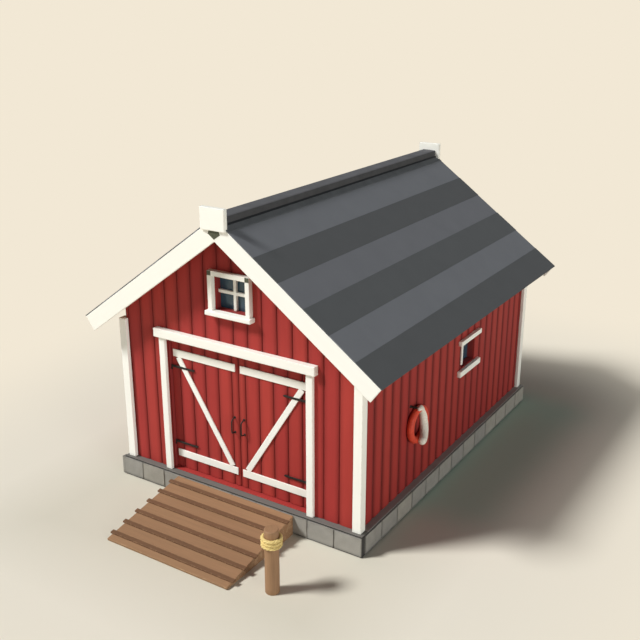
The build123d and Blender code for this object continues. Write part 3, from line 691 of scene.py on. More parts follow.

# plinth: split blocks with pillowed, hammered faces over a mortar core

# widths and strengths of the painted shade by each block's joints, along its top and at its foot
stone = {"cell": 0.035, "pillow": 0.004, "rough": 0.003, "edge": 0.013, "chip": 0.004, "soil": 0.022,
         "topShade": 0.72, "footShade": 0.85}
blocks = {"gap": 0.014, "frontGap": 0.005, "sideGap": 0.009, "frontSoil": 0.25, "sideSoil": 0.7, "foot": 0.018,
          "head": 0.024, "frontCount": 10, "sideCount": 13, "cornerReturn": 0.085, "cornerStep": 0.002,
          "sideStart": 0.092, "sideRunPast": 0.068, "ledge": 0.2, "ledgeEdge": 0.006, "bed": 0.004}


def ripple(p, seed):
    # smooth unevenness: sine waves of four sizes in chosen directions, added up
    sizes = (0.31, 0.17, 0.083, 0.047)
    rng = np.random.default_rng(seed)
    total = np.zeros(p.shape[:-1])
    for size in sizes:
        way = rng.normal(0, 1, (3, p.shape[-1]))
        way *= 2 * math.pi / size / np.linalg.norm(way, axis=1, keepdims=True)
        phase = rng.uniform(0, 2 * math.pi, 3)
        total += size * np.sin(p @ way.T + phase).mean(-1)
    return total / sizes[0]


def facingBlock(low, high, normal, seed, soil):
    # a block face as a grid (u, v): its middle bulges by a flat pillow and its surface is hammered by the ripple,
    # and the last rows turn back over a rounded arris to the core
    nx = np.asarray(normal, float)
    uAxis = np.cross(up, nx)
    depth = abs(nx @ (high - low))
    origin = (low + high) / 2 + nx * depth / 2
    e = stone["edge"]

    def axisLine(size):
        # along one side of the face, back edge, arris, even cells, arris, back edge: place and depth behind the face
        cells = max(4, int(size / stone["cell"]))
        inner = np.linspace(-size / 2 + e, size / 2 - e, cells)
        turn = np.array([size / 2, size / 2, size / 2 - 0.3 * e])
        behind = np.array([depth, e, 0.3 * e])
        return np.concatenate([-turn, inner, turn[::-1]]), np.concatenate([behind, inner * 0, behind[::-1]])

    w, h = abs(uAxis @ (high - low)), high[2] - low[2]
    (u, du), (v, dv) = axisLine(w), axisLine(h)
    back = np.maximum(du[:, None], dv[None, :])
    grid = np.stack(np.meshgrid(u, v, indexing="ij"), -1)
    pillow = np.cos(grid[..., 0] / w * math.pi) * np.cos(grid[..., 1] / h * math.pi)
    bulge = (back == 0) * (stone["pillow"] * (pillow - 1) + stone["rough"] * (ripple(grid, seed) - 1))
    # the outline wanders too: rows by the edge move in by a ripple along it, so that the joints aren't ruled
    chip = np.clip(1 - ripple(grid, seed + 500), 0, 2) * stone["chip"]
    grid = grid - np.sign(grid) * ((back > 0) * (back < depth) * chip)[..., None]
    verts = origin + grid[..., :1] * uAxis + grid[..., 1:] * up - (back - bulge)[..., None] * nx
    # painted shade lies along the top and the foot and, as far as the side's share says, by the upright joints
    shadeByJoint = soil * np.clip(1 - np.minimum(u - u[0], u[-1] - u) / stone["soil"], 0, 1) ** 2
    rows, cols = len(u), len(v)
    row = np.arange(cols)
    shadeOnEdges = stone["topShade"] * (row >= cols - 2) + stone["footShade"] * np.clip((4 - row) / 2, 0, 1)
    i, j = np.meshgrid(np.arange(rows - 1), np.arange(cols - 1), indexing="ij")
    quads = np.stack([i * cols + j, (i + 1) * cols + j, (i + 1) * cols + j + 1, i * cols + j + 1], -1)
    rim = np.concatenate([np.arange(cols), np.arange(1, rows) * cols + cols - 1,
                          (rows - 1) * cols + np.arange(cols - 2, -1, -1), np.arange(rows - 2, 0, -1) * cols])
    verts = verts.reshape(-1, 3)
    shape = newShape(verts, [*quads.reshape(-1, 4).tolist(), rim.tolist()], verts, dice.uniform(0, 1))
    shape["hollow"] = np.maximum(shadeByJoint[:, None], shadeOnEdges[None, :]).ravel()
    return shape


def plinth():
    # block faces between evenly spaced joints on all four sides, over a core with a coping
    low, high = corners("plinth_blocks")
    coreLow, coreHigh = corners("plinth_core")
    coreX, coreY = coreHigh[:2]
    z0, z1 = blocks["foot"], plinthTop - blocks["head"]
    shapes = []

    def addBlock(x0, x1, y0, y1, normal, soil):
        # one face between two corners, seeded by its number
        shapes.append(facingBlock(np.array([x0, y0, z0]), np.array([x1, y1, z1]), normal, 100 + len(shapes), soil))

    half, soil = blocks["frontGap"] / 2, blocks["frontSoil"]
    joints = np.linspace(low[0] - blocks["gap"] / 2, coreX, blocks["frontCount"] + 1)
    for n, (a, b) in enumerate(zip(joints[:-1], joints[1:])):
        addBlock(a + (half if n else blocks["gap"] / 2), b - half, low[1], -coreY, -north, soil)
        addBlock(max(a, -coreX) + half, b - half, coreY, high[1], north, soil)
    # the first front block turns the left corner
    addBlock(low[0], -coreX, low[1] + blocks["cornerStep"], -coreY + blocks["cornerReturn"], -east, soil)
    half, soil = blocks["sideGap"] / 2, blocks["sideSoil"]
    joints = np.linspace(-coreY + blocks["sideStart"], coreY + blocks["sideRunPast"], blocks["sideCount"] + 1)
    for a, b in zip(joints[:-1], joints[1:]):
        end = min(b - half, high[1])
        addBlock(coreX, high[0], a + half, end, east, soil)
        addBlock(-high[0], -coreX, a + half, end, -east, soil)
    assemble("plinth_blocks", [(splitGranite, shapes)])
    # a coping round the core: its two sunlit sides are painted darker all over and the two shaded sides left paler,
    # painted shade and light that even out the sun
    ledge, (x0, y0), (x1, y1, top) = blocks["ledge"], coreLow[:2], coreHigh
    coping = []
    for a0, a1, b0, b1, dirt in ((x0, x1, y0, y0 + ledge, 1.0), (x0, x1, y1 - ledge, y1, 0.0),
                                 (x0, x0 + ledge, y0 + ledge, y1 - ledge, 1.0),
                                 (x1 - ledge, x1, y0 + ledge, y1 - ledge, 0.0)):
        coping.append(bar((a0, b0, z1 - blocks["bed"]), (a1, b1, top), blocks["ledgeEdge"], tone=0.5))
        coping[-1]["hollow"] += dirt
    core = bar(coreLow, (x1, y1, top - blocks["bed"]), 0.004, lengthAxis=1, tone=0.5)
    assemble("plinth_core", [(trowelledMortar, coping), (jointMortar, [core])])


plinth()
print("plinth")

# roof: felt courses, boarded soffit, ridge

felt = {"edge": 0.0015, "hiddenEdge": 0.001, "wave": 0.00018, "count": 6, "step": 0.0006}
soffit = {"pitch": 0.148, "groove": 0.006, "edge": 0.004, "cutEdge": 0.002, "board": 0.03, "fromRidge": 0.08,
          "fill": 0.012, "fillInset": 0.004, "fillShort": 0.002, "fillEdge": 0.001}
flashing = {"edge": 0.002, "hem": 0.02, "hemFoot": 0.026, "hemProud": 0.003,
            "bends": (0, 0.001, 0.002, 0.001, 0.001, 0)}
cap = {"lift": 0.006,                      # shadow gap under the skirt
       "edge": 0.003, "fold": 0.012, "foldIn": 0.03, "foldRound": 0.02, "coreInset": 0.014, "coreBed": 0.01,
       # the last values size the black strips under the skirt and how dark its sides are: painted shadow under the cap
       "coreTop": 0.03, "coreEdge": 0.002, "coreShort": 0.004, "sealEdge": 0.002, "capShadowCut": 0.001,
       "capShadowShort": 0.002, "sealIn": 0.03, "capShadowOut": 0.034, "capShadowDeep": 0.004, "capShadowProud": 0.006, "grime": 0.64}
barge = {"depth": 0.2976, "edge": 0.006, "cutEdge": 0.005, "bow": 0.0006}
crown = {"blockDeep": 0.085, "blockEdge": 0.008, "plateNeck": 0.096, "plateShoulder": 0.063, "plateDeep": 0.004,
         "plateRound": 0.004, "plateEdge": 0.001}
apex = np.array([0, 0, roof["apex"]])


def slopeAxes(side):
    # down the slope away from the ridge, out square to the slope, and along the roof
    return (np.array([side * roof["cos"], 0, -roof["sin"]]), np.array([side * roof["sin"], 0, roof["cos"]]), north)


def roofCourses():
    # each course is a thin rectangle across the slope, carried along the roof. Dark ones stand a little proud
    strip = corners("ridge_flashing")[1][0]
    lightBack = corners("roof_courses_light")[1][1]
    run = (roof["eaveX"] - strip) / felt["count"] / roof["cos"]
    thin, e, hidden = courseDrop * roof["cos"], felt["edge"], felt["hiddenEdge"]
    rows = {"light": [], "dark": []}
    for side in (-1, 1):
        for i in range(felt["count"]):
            a0 = strip / roof["cos"] + run * i
            a1 = strip / roof["cos"] + run * (i + 1)
            shade, top, backY = ("dark", felt["step"], roof["backY"]) if i % 2 else ("light", 0.0, lightBack)
            outline = rectangle(a0, a1, -thin, top, [hidden, hidden, e, e], 0.03)
            rows[shade].append(stick(outline, slopeAxes(side), roof["frontY"], backY, e, felt["wave"], 9,
                                     origin=apex))
    assemble("roof_courses_light", [(slateFeltLight, rows["light"])])
    assemble("roof_courses_dark", [(slateFeltDark, rows["dark"])])


def roofSlab(node, side):
    # boards laid along the roof, tongued over a thin underlay, so that the soffit shows their joints
    topOut, lowOut = -courseDrop * roof["cos"], -wallTopDrop * roof["cos"]
    eave = slabHigh[0] / roof["cos"]
    count = int(eave / soffit["pitch"])
    pitch, gap, inner, e = eave / count, soffit["groove"] / 2, soffit["fromRidge"], soffit["edge"]
    shapes = []
    for i in range(count):
        outline = rectangle(max(pitch * i + gap, inner), pitch * (i + 1) - gap, lowOut, lowOut + soffit["board"],
                            [e, e, 0, 0])
        shapes.append(stick(outline, slopeAxes(side), slabLow[1], slabHigh[1], soffit["cutEdge"], origin=apex))
    fill = rectangle(inner, eave - soffit["fillInset"], lowOut + soffit["fill"], topOut)
    short = soffit["fillShort"]
    shapes.append(stick(fill, slopeAxes(side), slabLow[1] + short, slabHigh[1] - short, soffit["fillEdge"],
                        origin=apex))
    assemble(node, [(bareSpruce, shapes)])


def ridge():
    # down each slope a flashing with a hem along its edge, and over both a folded cap carried along the ridge
    low, high = corners("ridge_flashing")
    deep, reach = courseDrop * roof["cos"], high[0] / roof["cos"]
    outline = roundLoop([(0.0, -deep), (reach, -deep), (reach, flashing["hemProud"]),
                         (reach - flashing["hem"], flashing["hemProud"]), (reach - flashing["hemFoot"], 0.0),
                         (0.0, 0.0)], flashing["bends"])
    strips = [stick(outline, slopeAxes(side), low[1], high[1], flashing["edge"], 0, 5, origin=apex)
              for side in (-1, 1)]
    assemble("ridge_flashing", [(flashingPaintedPaler, strips)])
    low, (half, back, top) = corners("ridge_cap")
    foot, fold, inset = roof["apex"] - roof["tan"] * half, cap["fold"], cap["coreInset"]
    skirt = roundLoop([(-half, foot + cap["lift"]), (half, foot + cap["lift"]), (half, top - fold),
                       (half - cap["foldIn"], top), (-half + cap["foldIn"], top), (-half, top - fold)],
                      [cap["edge"], cap["edge"], fold, cap["foldRound"], cap["foldRound"], fold])
    core = rectangle(-half + inset, half - inset, foot - cap["coreBed"], top - cap["coreTop"], cap["coreEdge"])
    shapes = [stick(skirt, (east, up, -north), -back, -low[1], cap["edge"], 0, 7),
              stick(core, (east, up, -north), -back + cap["coreShort"], -low[1] - cap["coreShort"],
                    cap["coreEdge"], 0, 7)]
    # black strips stand out from under the skirt on both slopes, a painted shadow along the foot of the cap
    start, short = half / roof["cos"], cap["capShadowShort"]
    capShadow = rectangle(start - cap["sealIn"], start + cap["capShadowOut"], -cap["capShadowDeep"], cap["capShadowProud"],
                     cap["sealEdge"])
    shapes += [stick(capShadow, slopeAxes(side), low[1] + short, back - short, cap["capShadowCut"], origin=apex)
               for side in (-1, 1)]
    # painted shade on the upright sides of the skirt, and darkest on the core and the strips that lie under it
    shapes[0]["hollow"] = cap["grime"] * (shapes[0]["verts"][:, 2] < top - fold)
    for shape in shapes[1:]:
        shape["hollow"] += 1
    assemble("ridge_cap", [(foldedRidgeSteel, shapes)])


def bargeBoards(node):
    # each board runs down its slope, mitred upright at the ridge and cut square at the eave: across is out of the
    # slope, so the mitre moves along the board with it
    low, high = corners(node)
    outline = rectangle(-barge["depth"], 0, low[1], high[1], barge["edge"])
    shapes = []
    for side in (-1, 1):
        down, out, along = slopeAxes(side)
        shapes.append(stick(outline, (out, along, down), (0.0, -roof["tan"]), high[0] / roof["cos"],
                            barge["cutEdge"], barge["bow"], 5, origin=(0, 0, high[2])))
    assemble(node, [(linseedCreamTrim, shapes)])


def ridgeBlocks():
    # a squared block over each gable, and a thin five-sided plate on each apex
    low, high = corners("ridge_blocks")
    shapes = [bar((low[0], y0, low[2]), (high[0], y1, high[2]), crown["blockEdge"], lengthAxis=0)
              for y0, y1 in ((low[1], low[1] + crown["blockDeep"]), (high[1] - crown["blockDeep"], high[1]))]
    assemble("ridge_blocks", [(linseedCreamTrim, shapes)])
    low, (half, back, top) = corners("apex_plates")
    neck, shoulder, deep = crown["plateNeck"], top - crown["plateShoulder"], crown["plateDeep"]
    outline = roundLoop([(0, low[2]), (half, shoulder), (neck, top), (-neck, top), (-half, shoulder)],
                        crown["plateRound"])
    plates = [stick(outline, (east, up, -north), -y1, -y0, crown["plateEdge"], 0, 1)
              for y0, y1 in ((low[1], low[1] + deep), (back - deep, back))]
    assemble("apex_plates", [(weatheredZinc, plates)])


roofCourses()
roofSlab("roof_slab_right", 1)
roofSlab("roof_slab_left", -1)
ridge()
bargeBoards("barge_boards_front")
bargeBoards("barge_boards_back")
ridgeBlocks()
print("roof")

# floor boards inside, the painted threshold and the doorway's casing

floor = {"pitch": 0.14, "gap": 0.004, "edge": 0.002, "under": 0.004, "underEdge": 0.001, "thresholdEdge": 0.004}
casing = {"jamb": 0.126, "jambEdge": 0.008, "jambDrop": 0.0005, "lintelEdge": 0.009, "bow": 0.0005}


def floorBoards():
    # boards of even width with gaps between, on a thin layer that closes them, and a threshold in front
    low, high = corners("floor_boards")
    joints = np.linspace(low[0], high[0], int((high[0] - low[0]) / floor["pitch"]) + 1)
    shapes = [bar((x0 + floor["gap"] / 2, *low[1:]), (x1 - floor["gap"] / 2, *high[1:]), floor["edge"], lengthAxis=1)
              for x0, x1 in zip(joints[:-1], joints[1:])]
    shapes.append(bar(low, (*high[:2], high[2] - floor["under"]), floor["underEdge"], lengthAxis=1))
    assemble("floor_boards", [(bareSpruce, shapes)])
    low, high = corners("threshold")
    assemble("threshold", [(ironOxideBoards, [bar(low, high, floor["thresholdEdge"], lengthAxis=0)])],
             name="thresholdBoard")


def doorCasing():
    # one squared lintel across the doorway and a jamb on each side
    low, high = corners("door_lintel")
    lintel = bar(low, high, casing["lintelEdge"], casing["bow"], 0, stations=5)
    assemble("door_lintel", [(linseedCreamTrim, [lintel])])
    low, high = corners("door_jambs")
    jambs = [bar((x0, *low[1:]), (x1, high[1], high[2] - casing["jambDrop"]), casing["jambEdge"], casing["bow"], 2,
                 stations=4)
             for x0, x1 in ((low[0], low[0] + casing["jamb"]), (high[0] - casing["jamb"], high[0]))]
    assemble("door_jambs", [(linseedCreamTrim, jambs)])


floorBoards()
doorCasing()
print("floor and doorway")

# door leaves: tongued boards, Z frame, strap hinges on pintles, forged pulls

leaf = {
    "firstJoint": 0.143, "pitch": 0.286, "groove": 0.009, "tongue": 0.012, "tongueShort": 0.004, "tongueIn": 0.01,
    "tongueEdge": 0.001, "narrowest": 0.03, "edge": 0.003, "bow": 0.0004,
    "railHeight": 0.137, "railBack": 0.0015, "frameEdge": 0.006,
    "braceWidth": 0.125, "braceTop": 0.047, "braceFoot": 0.040, "braceLapTop": 0.026, "braceLapFoot": 0.018,
    "braceEdge": 0.004,
}
strap = {
    "inset": 0.03, "stations": 26, "sides": 20, "half": 0.022, "tip": 0.018, "deep": 0.0055, "bed": 0.004,
    "bolts": (0.2, 0.35), "boltRadius": 0.008, "boltRise": 0.0025,
    "packing": ((0.045, 0.035, 0.01), (-0.034, 0.026, 0.017)),  # place from the tip or the hinge, half width, height
    "packingIn": 0.003, "packingShort": 0.0005, "packingEdge": 0.002,
    "knuckle": 0.012, "knuckleHalf": 0.026, "knuckleEdge": 0.002, "bore": 0.0068,
}
pull = {"radius": 0.0115, "inset": 0.013, "into": 0.002, "leg": 0.035, "bend": 0.012, "rise": (0, 0.004, 0.018, 0.06),
        "fall": (0.075, 0.034, 0.008, 0), "rose": 0.024, "roseRise": 0.006}
pintle = {"low": 0.066, "high": 0.03, "arm": 0.036, "armDeep": 0.03, "armHalf": 0.0065, "armEdge": 0.0015,
          "radius": 0.0063, "sunk": 0.002, "shoulder": 0.027, "point": 0.0045, "top": 0.03}


def smoothPath(points, steps=10):
    # the Catmull-Rom curve through the points: each span is the cubic that leaves along its neighbours' chord
    p = np.asarray(points, float)
    p = np.concatenate([[2 * p[0] - p[1]], p, [2 * p[-1] - p[-2]]])
    t = np.linspace(0, 1, steps, endpoint=False)[:, None]
    pieces = [0.5 * (2 * b + (c - a) * t + (2 * a - 5 * b + 4 * c - d) * t ** 2 + (3 * b - a - 3 * c + d) * t ** 3)
              for a, b, c, d in zip(p[:-3], p[1:-2], p[2:-1], p[3:])]
    return np.concatenate([*pieces, [p[-2]]])


def dome(radius, rise, centre, out, start, count):
    # a bolt head: a low dome over a short edge, turned about its way out
    t = np.linspace(0, math.pi / 2, 5)
    cover = np.stack([radius * np.cos(t), rise * (0.35 + 0.65 * np.sin(t))], 1)
    return turned([(0, -0.001), (radius, -0.001), *cover[:-1], (0, rise)], centre, out, start, count)


def flatBar(path, halfWidth, halfDeep):
    # forged strap: at each point of the path a superellipse ring of its half width, flattened to its half depth
    count = strap["sides"]
    angle = np.arange(count) * 2 * math.pi / count
    depth, width = (np.sign(w) * np.abs(w) ** 0.45 for w in (np.cos(angle), np.sin(angle)))
    offset = np.stack(np.broadcast_arrays(0.0, depth * halfDeep, width * halfWidth[:, None]), -1)
    verts = (path[:, None, :] + offset).reshape(-1, 3)
    faces = cappedFaces(len(path), count)
    if path[-1, 0] < path[0, 0]:
        faces = [face[::-1] for face in faces]
    return newShape(verts, faces, verts)


def reachOf(low, high):
    # distances of a leaf's two edges from the middle of the doorway
    return sorted(np.abs([low[0], high[0]]))


def leafBoards(node, side):
    # cambered boards from the meeting edge outwards, round one tongue that closes their joints
    low, high = corners(node)
    inner, outer = reachOf(low, high)
    joints = [inner, *np.arange(leaf["firstJoint"], outer - leaf["narrowest"], leaf["pitch"]), outer]
    axes, boards, last = (east * side, -north, up), [], len(joints) - 2
    for n, (j0, j1) in enumerate(zip(joints[:-1], joints[1:])):
        x0 = j0 + (leaf["groove"] / 2 if n else 0)
        x1 = j1 - (leaf["groove"] / 2 if n < last else 0)
        b1 = x1 if n < last else x1 + 1    # the board by the hinge is cut down, so its own edge lies beyond
        board = stick(camberedOutline(x0, x1, x0, b1, -low[1], -high[1]), axes, low[2], high[2], leaf["edge"],
                      leaf["bow"])
        # painted shade by the joints, as on the walls
        boards.append(shadeByJoints(board, axes, x0, b1, -high[1], cladding["gableDirt"]))
    middle, half = (low[1] + high[1]) / 2, leaf["tongue"] / 2
    tongue = bar((side * (inner + leaf["tongueIn"]), middle - half, low[2] + leaf["tongueShort"]),
                 (side * (outer - leaf["tongueIn"]), middle + half, high[2] - leaf["tongueShort"]),
                 leaf["tongueEdge"], lengthAxis=2)
    # the tongue shows through the joints in the painted groove shadow
    assemble(node, [(ironOxideBoards, boards), (grooveShadowPaint, [tongue])])


def leafFrame(node, side):
    # two level rails, and a brace whose outline is carried along the line from its foot to its top
    low, high = corners(node)
    inner, outer = reachOf(low, high)
    h, e, width = leaf["railHeight"], leaf["frameEdge"], leaf["braceWidth"]
    rails = [bar((side * inner, low[1] + leaf["railBack"], z), (side * outer, high[1], z + h), e, leaf["bow"], 0)
             for z in (low[2], high[2] - h)]
    # the brace is cut square at both ends, and a corner of each laps the rail
    foot, top = inner + leaf["braceFoot"] + width / 2, outer - leaf["braceTop"] - width / 2
    rise = np.array([top - foot, high[2] - low[2] - 2 * h])
    length = np.linalg.norm(rise)
    run = rise / length
    half = width * run[1] / 2
    start = (half * run[0] - leaf["braceLapFoot"]) / run[1]
    stop = length - (half * run[0] - leaf["braceLapTop"]) / run[1]
    axes = (np.array([side * run[1], 0, -run[0]]), north, np.array([side * run[0], 0, run[1]]))
    brace = stick(rectangle(-half, half, low[1], high[1], e), axes, start, stop, leaf["braceEdge"], leaf["bow"],
                  4, origin=(side * foot, 0, low[2] + h))
    assemble(node, [(linseedCreamTrim, [*rails, brace])])


def leafStraps(node, side, hinge, railFace):
    # a strap widens from its rounded tip to the hinge, lies on the frame with bolts and packing, and ends in a
    # knuckle round the pin
    low, high = corners(node)
    tipX, hingeX = reachOf(low, high)[0], abs(hinge[0])
    share = np.linspace(0, 1, strap["stations"])
    xs = tipX + (hingeX - tipX) * share
    width = strap["tip"] + (strap["half"] - strap["tip"]) * share
    width = width * np.sqrt(np.maximum(1 - (1 - np.minimum(1, (xs - tipX) / strap["tip"])) ** 2, 0.02))
    face, hh = railFace - strap["bed"], strap["knuckleHalf"]
    ring = rectangle(strap["bore"], strap["knuckle"], -hh, hh, strap["knuckleEdge"], 0.001)[0][::-1]
    iron = []
    for z in (low[2] + strap["inset"], high[2] - strap["inset"]):
        path = np.stack(np.broadcast_arrays(side * xs, face, z), 1)
        iron.append(flatBar(path, width, strap["deep"]))
        for reach in strap["bolts"]:
            iron.append(dome(strap["boltRadius"], strap["boltRise"],
                             (side * (tipX + reach), face - strap["deep"] * 0.85, z), -north, east, 16))
        for reach, half, deep in strap["packing"]:
            x = reach + (tipX if reach > 0 else hingeX)
            iron.append(bar((side * (x - half), railFace - strap["packingIn"], z - deep),
                            (side * (x + half), high[1] - strap["packingShort"], z + deep), strap["packingEdge"]))
        iron.append(turned(ring, (hinge[0], hinge[1], z), up, east, 24, True))
    assemble(node, [(blackedIron, iron)])


def leafPull(node, face):
    # a round rod along a smooth path out of the boards and back, with a domed rose over each end
    low, high = corners(node)
    x, z0, z1 = (low[0] + high[0]) / 2, low[2] + pull["inset"], high[2] - pull["inset"]
    front = low[1] + pull["inset"]
    ys = [face + pull["into"], face - pull["leg"], front + pull["bend"], front]
    zs = [*(z0 + np.array(pull["rise"])), (z0 + z1) / 2, *(z1 - np.array(pull["fall"]))]
    iron = [tube(smoothPath([(x, y, z) for y, z in zip([*ys, front, *ys[::-1]], zs)]), pull["radius"], 14)]
    iron += [dome(pull["rose"], pull["roseRise"], (x, face, z), -north, east, 24) for z in (z0, z1)]
    assemble(node, [(blackedIron, iron)])


def hingePintles():
    # a squared arm out of the jamb, and on it a pin turned about the hinge line
    low, high = corners("hinge_pintles")
    p, shapes = pintle, []
    for joint in frame["joints"]:
        hx, hy = joint["pos_m"][:2]
        side = math.copysign(1, hx)
        for z in (low[2] + p["low"], high[2] - p["high"]):
            arm = z - p["arm"]
            shapes.append(bar((hx - side * p["armHalf"], hy - p["armHalf"], arm - p["armDeep"]),
                              (side * openHalf, hy + p["armHalf"], arm), p["armEdge"]))
            pin = [(0, arm - p["sunk"]), (p["radius"], arm - p["sunk"]), (p["radius"], z + p["shoulder"]),
                   (p["point"], z + p["top"]), (0, z + p["top"])]
            shapes.append(turned(pin, (hx, hy, 0), up, east, 20))
    assemble("hinge_pintles", [(blackedIron, shapes)])


for body, side in (("door_right", 1), ("door_left", -1)):
    hinge = next(joint["pos_m"] for joint in frame["joints"] if joint["child"] == body)
    leafBoards(body + "_boards", side)
    leafFrame(body + "_frame", side)
    leafStraps(body + "_straps", side, hinge, corners(body + "_frame")[0][1])
    leafPull(body + "_handle", corners(body + "_boards")[0][1])
hingePintles()
print("doors")

# windows

window = {"casing": 0.085, "edge": 0.006, "sillEdge": 0.012, "platePast": 0.004, "plate": 0.077, "plateEdge": 0.001,
          "bar": 0.056, "barBack": 0.002, "paneEdge": 0.0008}
sideTrim = {"edge": 0.008, "headNear": 0.16, "headFar": 0.153, "sillTop": 1.882, "jamb": 0.05, "jambDeep": 0.03,
            "jambFoot": 0.103, "jambEdge": 0.004}


def gableWindow():
    # a head, two sides and a deeper sill round the hole, a plate by each corner of the head, and crossed bars
    w, e = window["casing"], window["edge"]
    plateLow, plateHigh = corners("gable_window_corner_plates")
    low, high = corners("gable_window_casing")
    half, front = plateHigh[0] + window["platePast"], plateHigh[1]
    z0, z1 = windowHole[2], high[2]
    shapes = [bar((x0, front, foot), (x1, -wallY, head), e, lengthAxis=axis) for x0, x1, foot, head, axis in (
        (-half, half, z1 - w, z1, 0), (-half, -half + w, z0, z1 - w, 2), (half - w, half, z0, z1 - w, 2))]
    shapes.append(bar(low, (high[0], -wallY, z0), window["sillEdge"], lengthAxis=0))
    assemble("gable_window_casing", [(linseedCreamTrim, shapes)])
    plates = [bar((x0, *plateLow[1:]), (x1, *plateHigh[1:]), window["plateEdge"])
              for x0, x1 in ((plateLow[0], plateLow[0] + window["plate"]),
                             (plateHigh[0] - window["plate"], plateHigh[0]))]
    assemble("gable_window_corner_plates", [(weatheredZinc, plates)])
    low, high = corners("gable_window_bars")
    half, middle = window["bar"] / 2, (low[2] + high[2]) / 2
    bars = [bar((-half, *low[1:]), (half, *high[1:]), e, lengthAxis=2),
            bar((low[0], low[1] + window["barBack"], middle - half), (high[0], high[1], middle + half), e,
                lengthAxis=0)]
    assemble("gable_window_bars", [(linseedCreamTrim, bars)])


def sideWindow():
    # a head board and a sill that run past the hole, and one thin jamb on its near side
    low, high = corners("side_window_casing")
    near, far, head = sideHole[0], sideHole[1], sideHole[3]
    s, e = sideTrim, sideTrim["edge"]
    shapes = [bar((wallX, near - s["headNear"], head), (high[0], far + s["headFar"], high[2]), e, lengthAxis=1),
              bar((wallX, *low[1:]), (*high[:2], s["sillTop"]), e, lengthAxis=1),
              bar((wallX, near - s["jamb"], s["sillTop"] + s["jambFoot"]), (wallX + s["jambDeep"], near, head),
                  s["jambEdge"], lengthAxis=2)]
    assemble("side_window_casing", [(linseedCreamTrim, shapes)])


gableWindow()
sideWindow()
for node in ("gable_window_glass", "side_window_glass"):
    assemble(node, [(drawnGlass, [bar(*corners(node), window["paneEdge"], lengthAxis=2)])])
print("windows")

# lifebuoy: an orange ring with half a white one turned out of its plane, and a black hook

buoy = {"y": -1.539, "z": 1.536, "radius": 0.284, "tube": 0.063, "whiteTube": 0.077, "headTaper": 0.5,
        "footTaper": 0.1, "headOut": (1.4, -2.0, 1.7), "whiteOut": 0.066, "whiteNear": 0.035, "whiteUp": 0.009,
        "turn": 16.3, "lean": 9.3, "footLap": 0.03, "offWall": 0.002, "sides": 28, "steps": 60}
hook = {"radius": 0.019, "near": 0.185, "rise": 0.386, "length": 0.125, "slew": 0.028, "tip": 0.1, "rose": 0.03,
        "roseRise": 0.008}


def lifebuoy():
    # the ring is a circle turned about the wall's normal, the sleeve a tube along half a circle that is turned
    # and leant out of the ring's plane, and the hook a rod that rounds off towards its tip
    b = buoy
    centre = np.array([wallX + b["tube"], b["y"], b["z"]])
    t = np.arange(b["sides"]) * 2 * math.pi / b["sides"]
    profile = np.stack([b["radius"] + b["tube"] * np.cos(t), b["tube"] * np.sin(t)], 1)
    ring = turned(profile, centre, east, north, 96, True)
    assemble("lifebuoy_near_half", [(mouldedOrangeShell, [ring])], smoothAngle=60)
    turn, lean = math.radians(b["turn"]), math.radians(b["lean"])
    far = np.array([-math.sin(turn), math.cos(turn), 0])
    high = up * math.cos(lean) - np.cross(far, up) * math.sin(lean)
    middle = centre + np.array([b["whiteOut"], -b["whiteNear"], b["whiteUp"]])
    foot, head = math.pi / 2 + math.asin(b["footLap"] / b["radius"]), math.pi / 2
    # the sleeve is drawn in towards both ends, and its line moves out by its upper end, so that it lies on the ring
    share = np.linspace(0, 1, b["steps"])
    swell = b["whiteTube"] * (1 - b["headTaper"] * share ** 3) * (1 - b["footTaper"] * (1 - share) ** 6)
    nose = np.linspace(0, math.pi / 2, 7)[:-1]
    radius = np.concatenate([np.sin(nose) * swell[0], swell, np.sin(nose[::-1]) * swell[-1]])
    arc = np.concatenate([-foot - np.cos(nose) * swell[0] / b["radius"], -foot + (foot + head) * share,
                          head + np.cos(nose[::-1]) * swell[-1] / b["radius"]])
    thinner = b["whiteTube"] - np.concatenate([nose * 0 + swell[0], swell, nose * 0 + swell[-1]])
    spoke = np.cos(arc)[:, None] * far + np.sin(arc)[:, None] * high
    path = middle + b["radius"] * spoke + (thinner * (arc > 0))[:, None] * np.array(b["headOut"])
    sleeve = tube(path, np.maximum(radius, 0.002), b["sides"], np.cross(far, high))
    sleeve["verts"][:, 0] = np.maximum(sleeve["verts"][:, 0], wallX + b["offWall"])
    assemble("lifebuoy_far_half", [(paintedCanvasSleeve, [sleeve])], smoothAngle=60)
    root = np.array([wallX, b["y"] - hook["near"], b["z"] + hook["rise"]])
    along = np.linspace(0, 1, 12)
    path = root + along[:, None] * np.array([hook["length"], hook["slew"], 0])
    nearTip = ((along - (1 - hook["tip"])) / hook["tip"]).clip(0, 1)
    size = hook["radius"] * np.sqrt(np.maximum(1 - nearTip ** 2, 0.05))
    rose = dome(hook["rose"], hook["roseRise"], root, east, north, 24)
    assemble("lifebuoy_hook", [(blackedIron, [tube(path, size, 18), rose])])


lifebuoy()
print("lifebuoy")

# slipway ramp

slip = {"foot": 0.045, "plank": 0.04, "plankEdge": 0.004, "plankBow": 0.0005, "gap": 0.006, "headGap": 0.001,
        "headLap": 0.001, "headEdge": 0.003,
        "battens": 6, "battenFirst": 0.181, "battenLast": 0.156, "battenWidth": 0.08, "battenHigh": 0.0288,
        "battenSlope": 0.004, "battenRound": 0.005, "battenEdge": 0.004, "battenBow": 0.0008,
        "wedgeUp": 0.004, "wedgeIn": 0.004, "wedgeFoot": 0.03, "wedgeToe": 0.012}


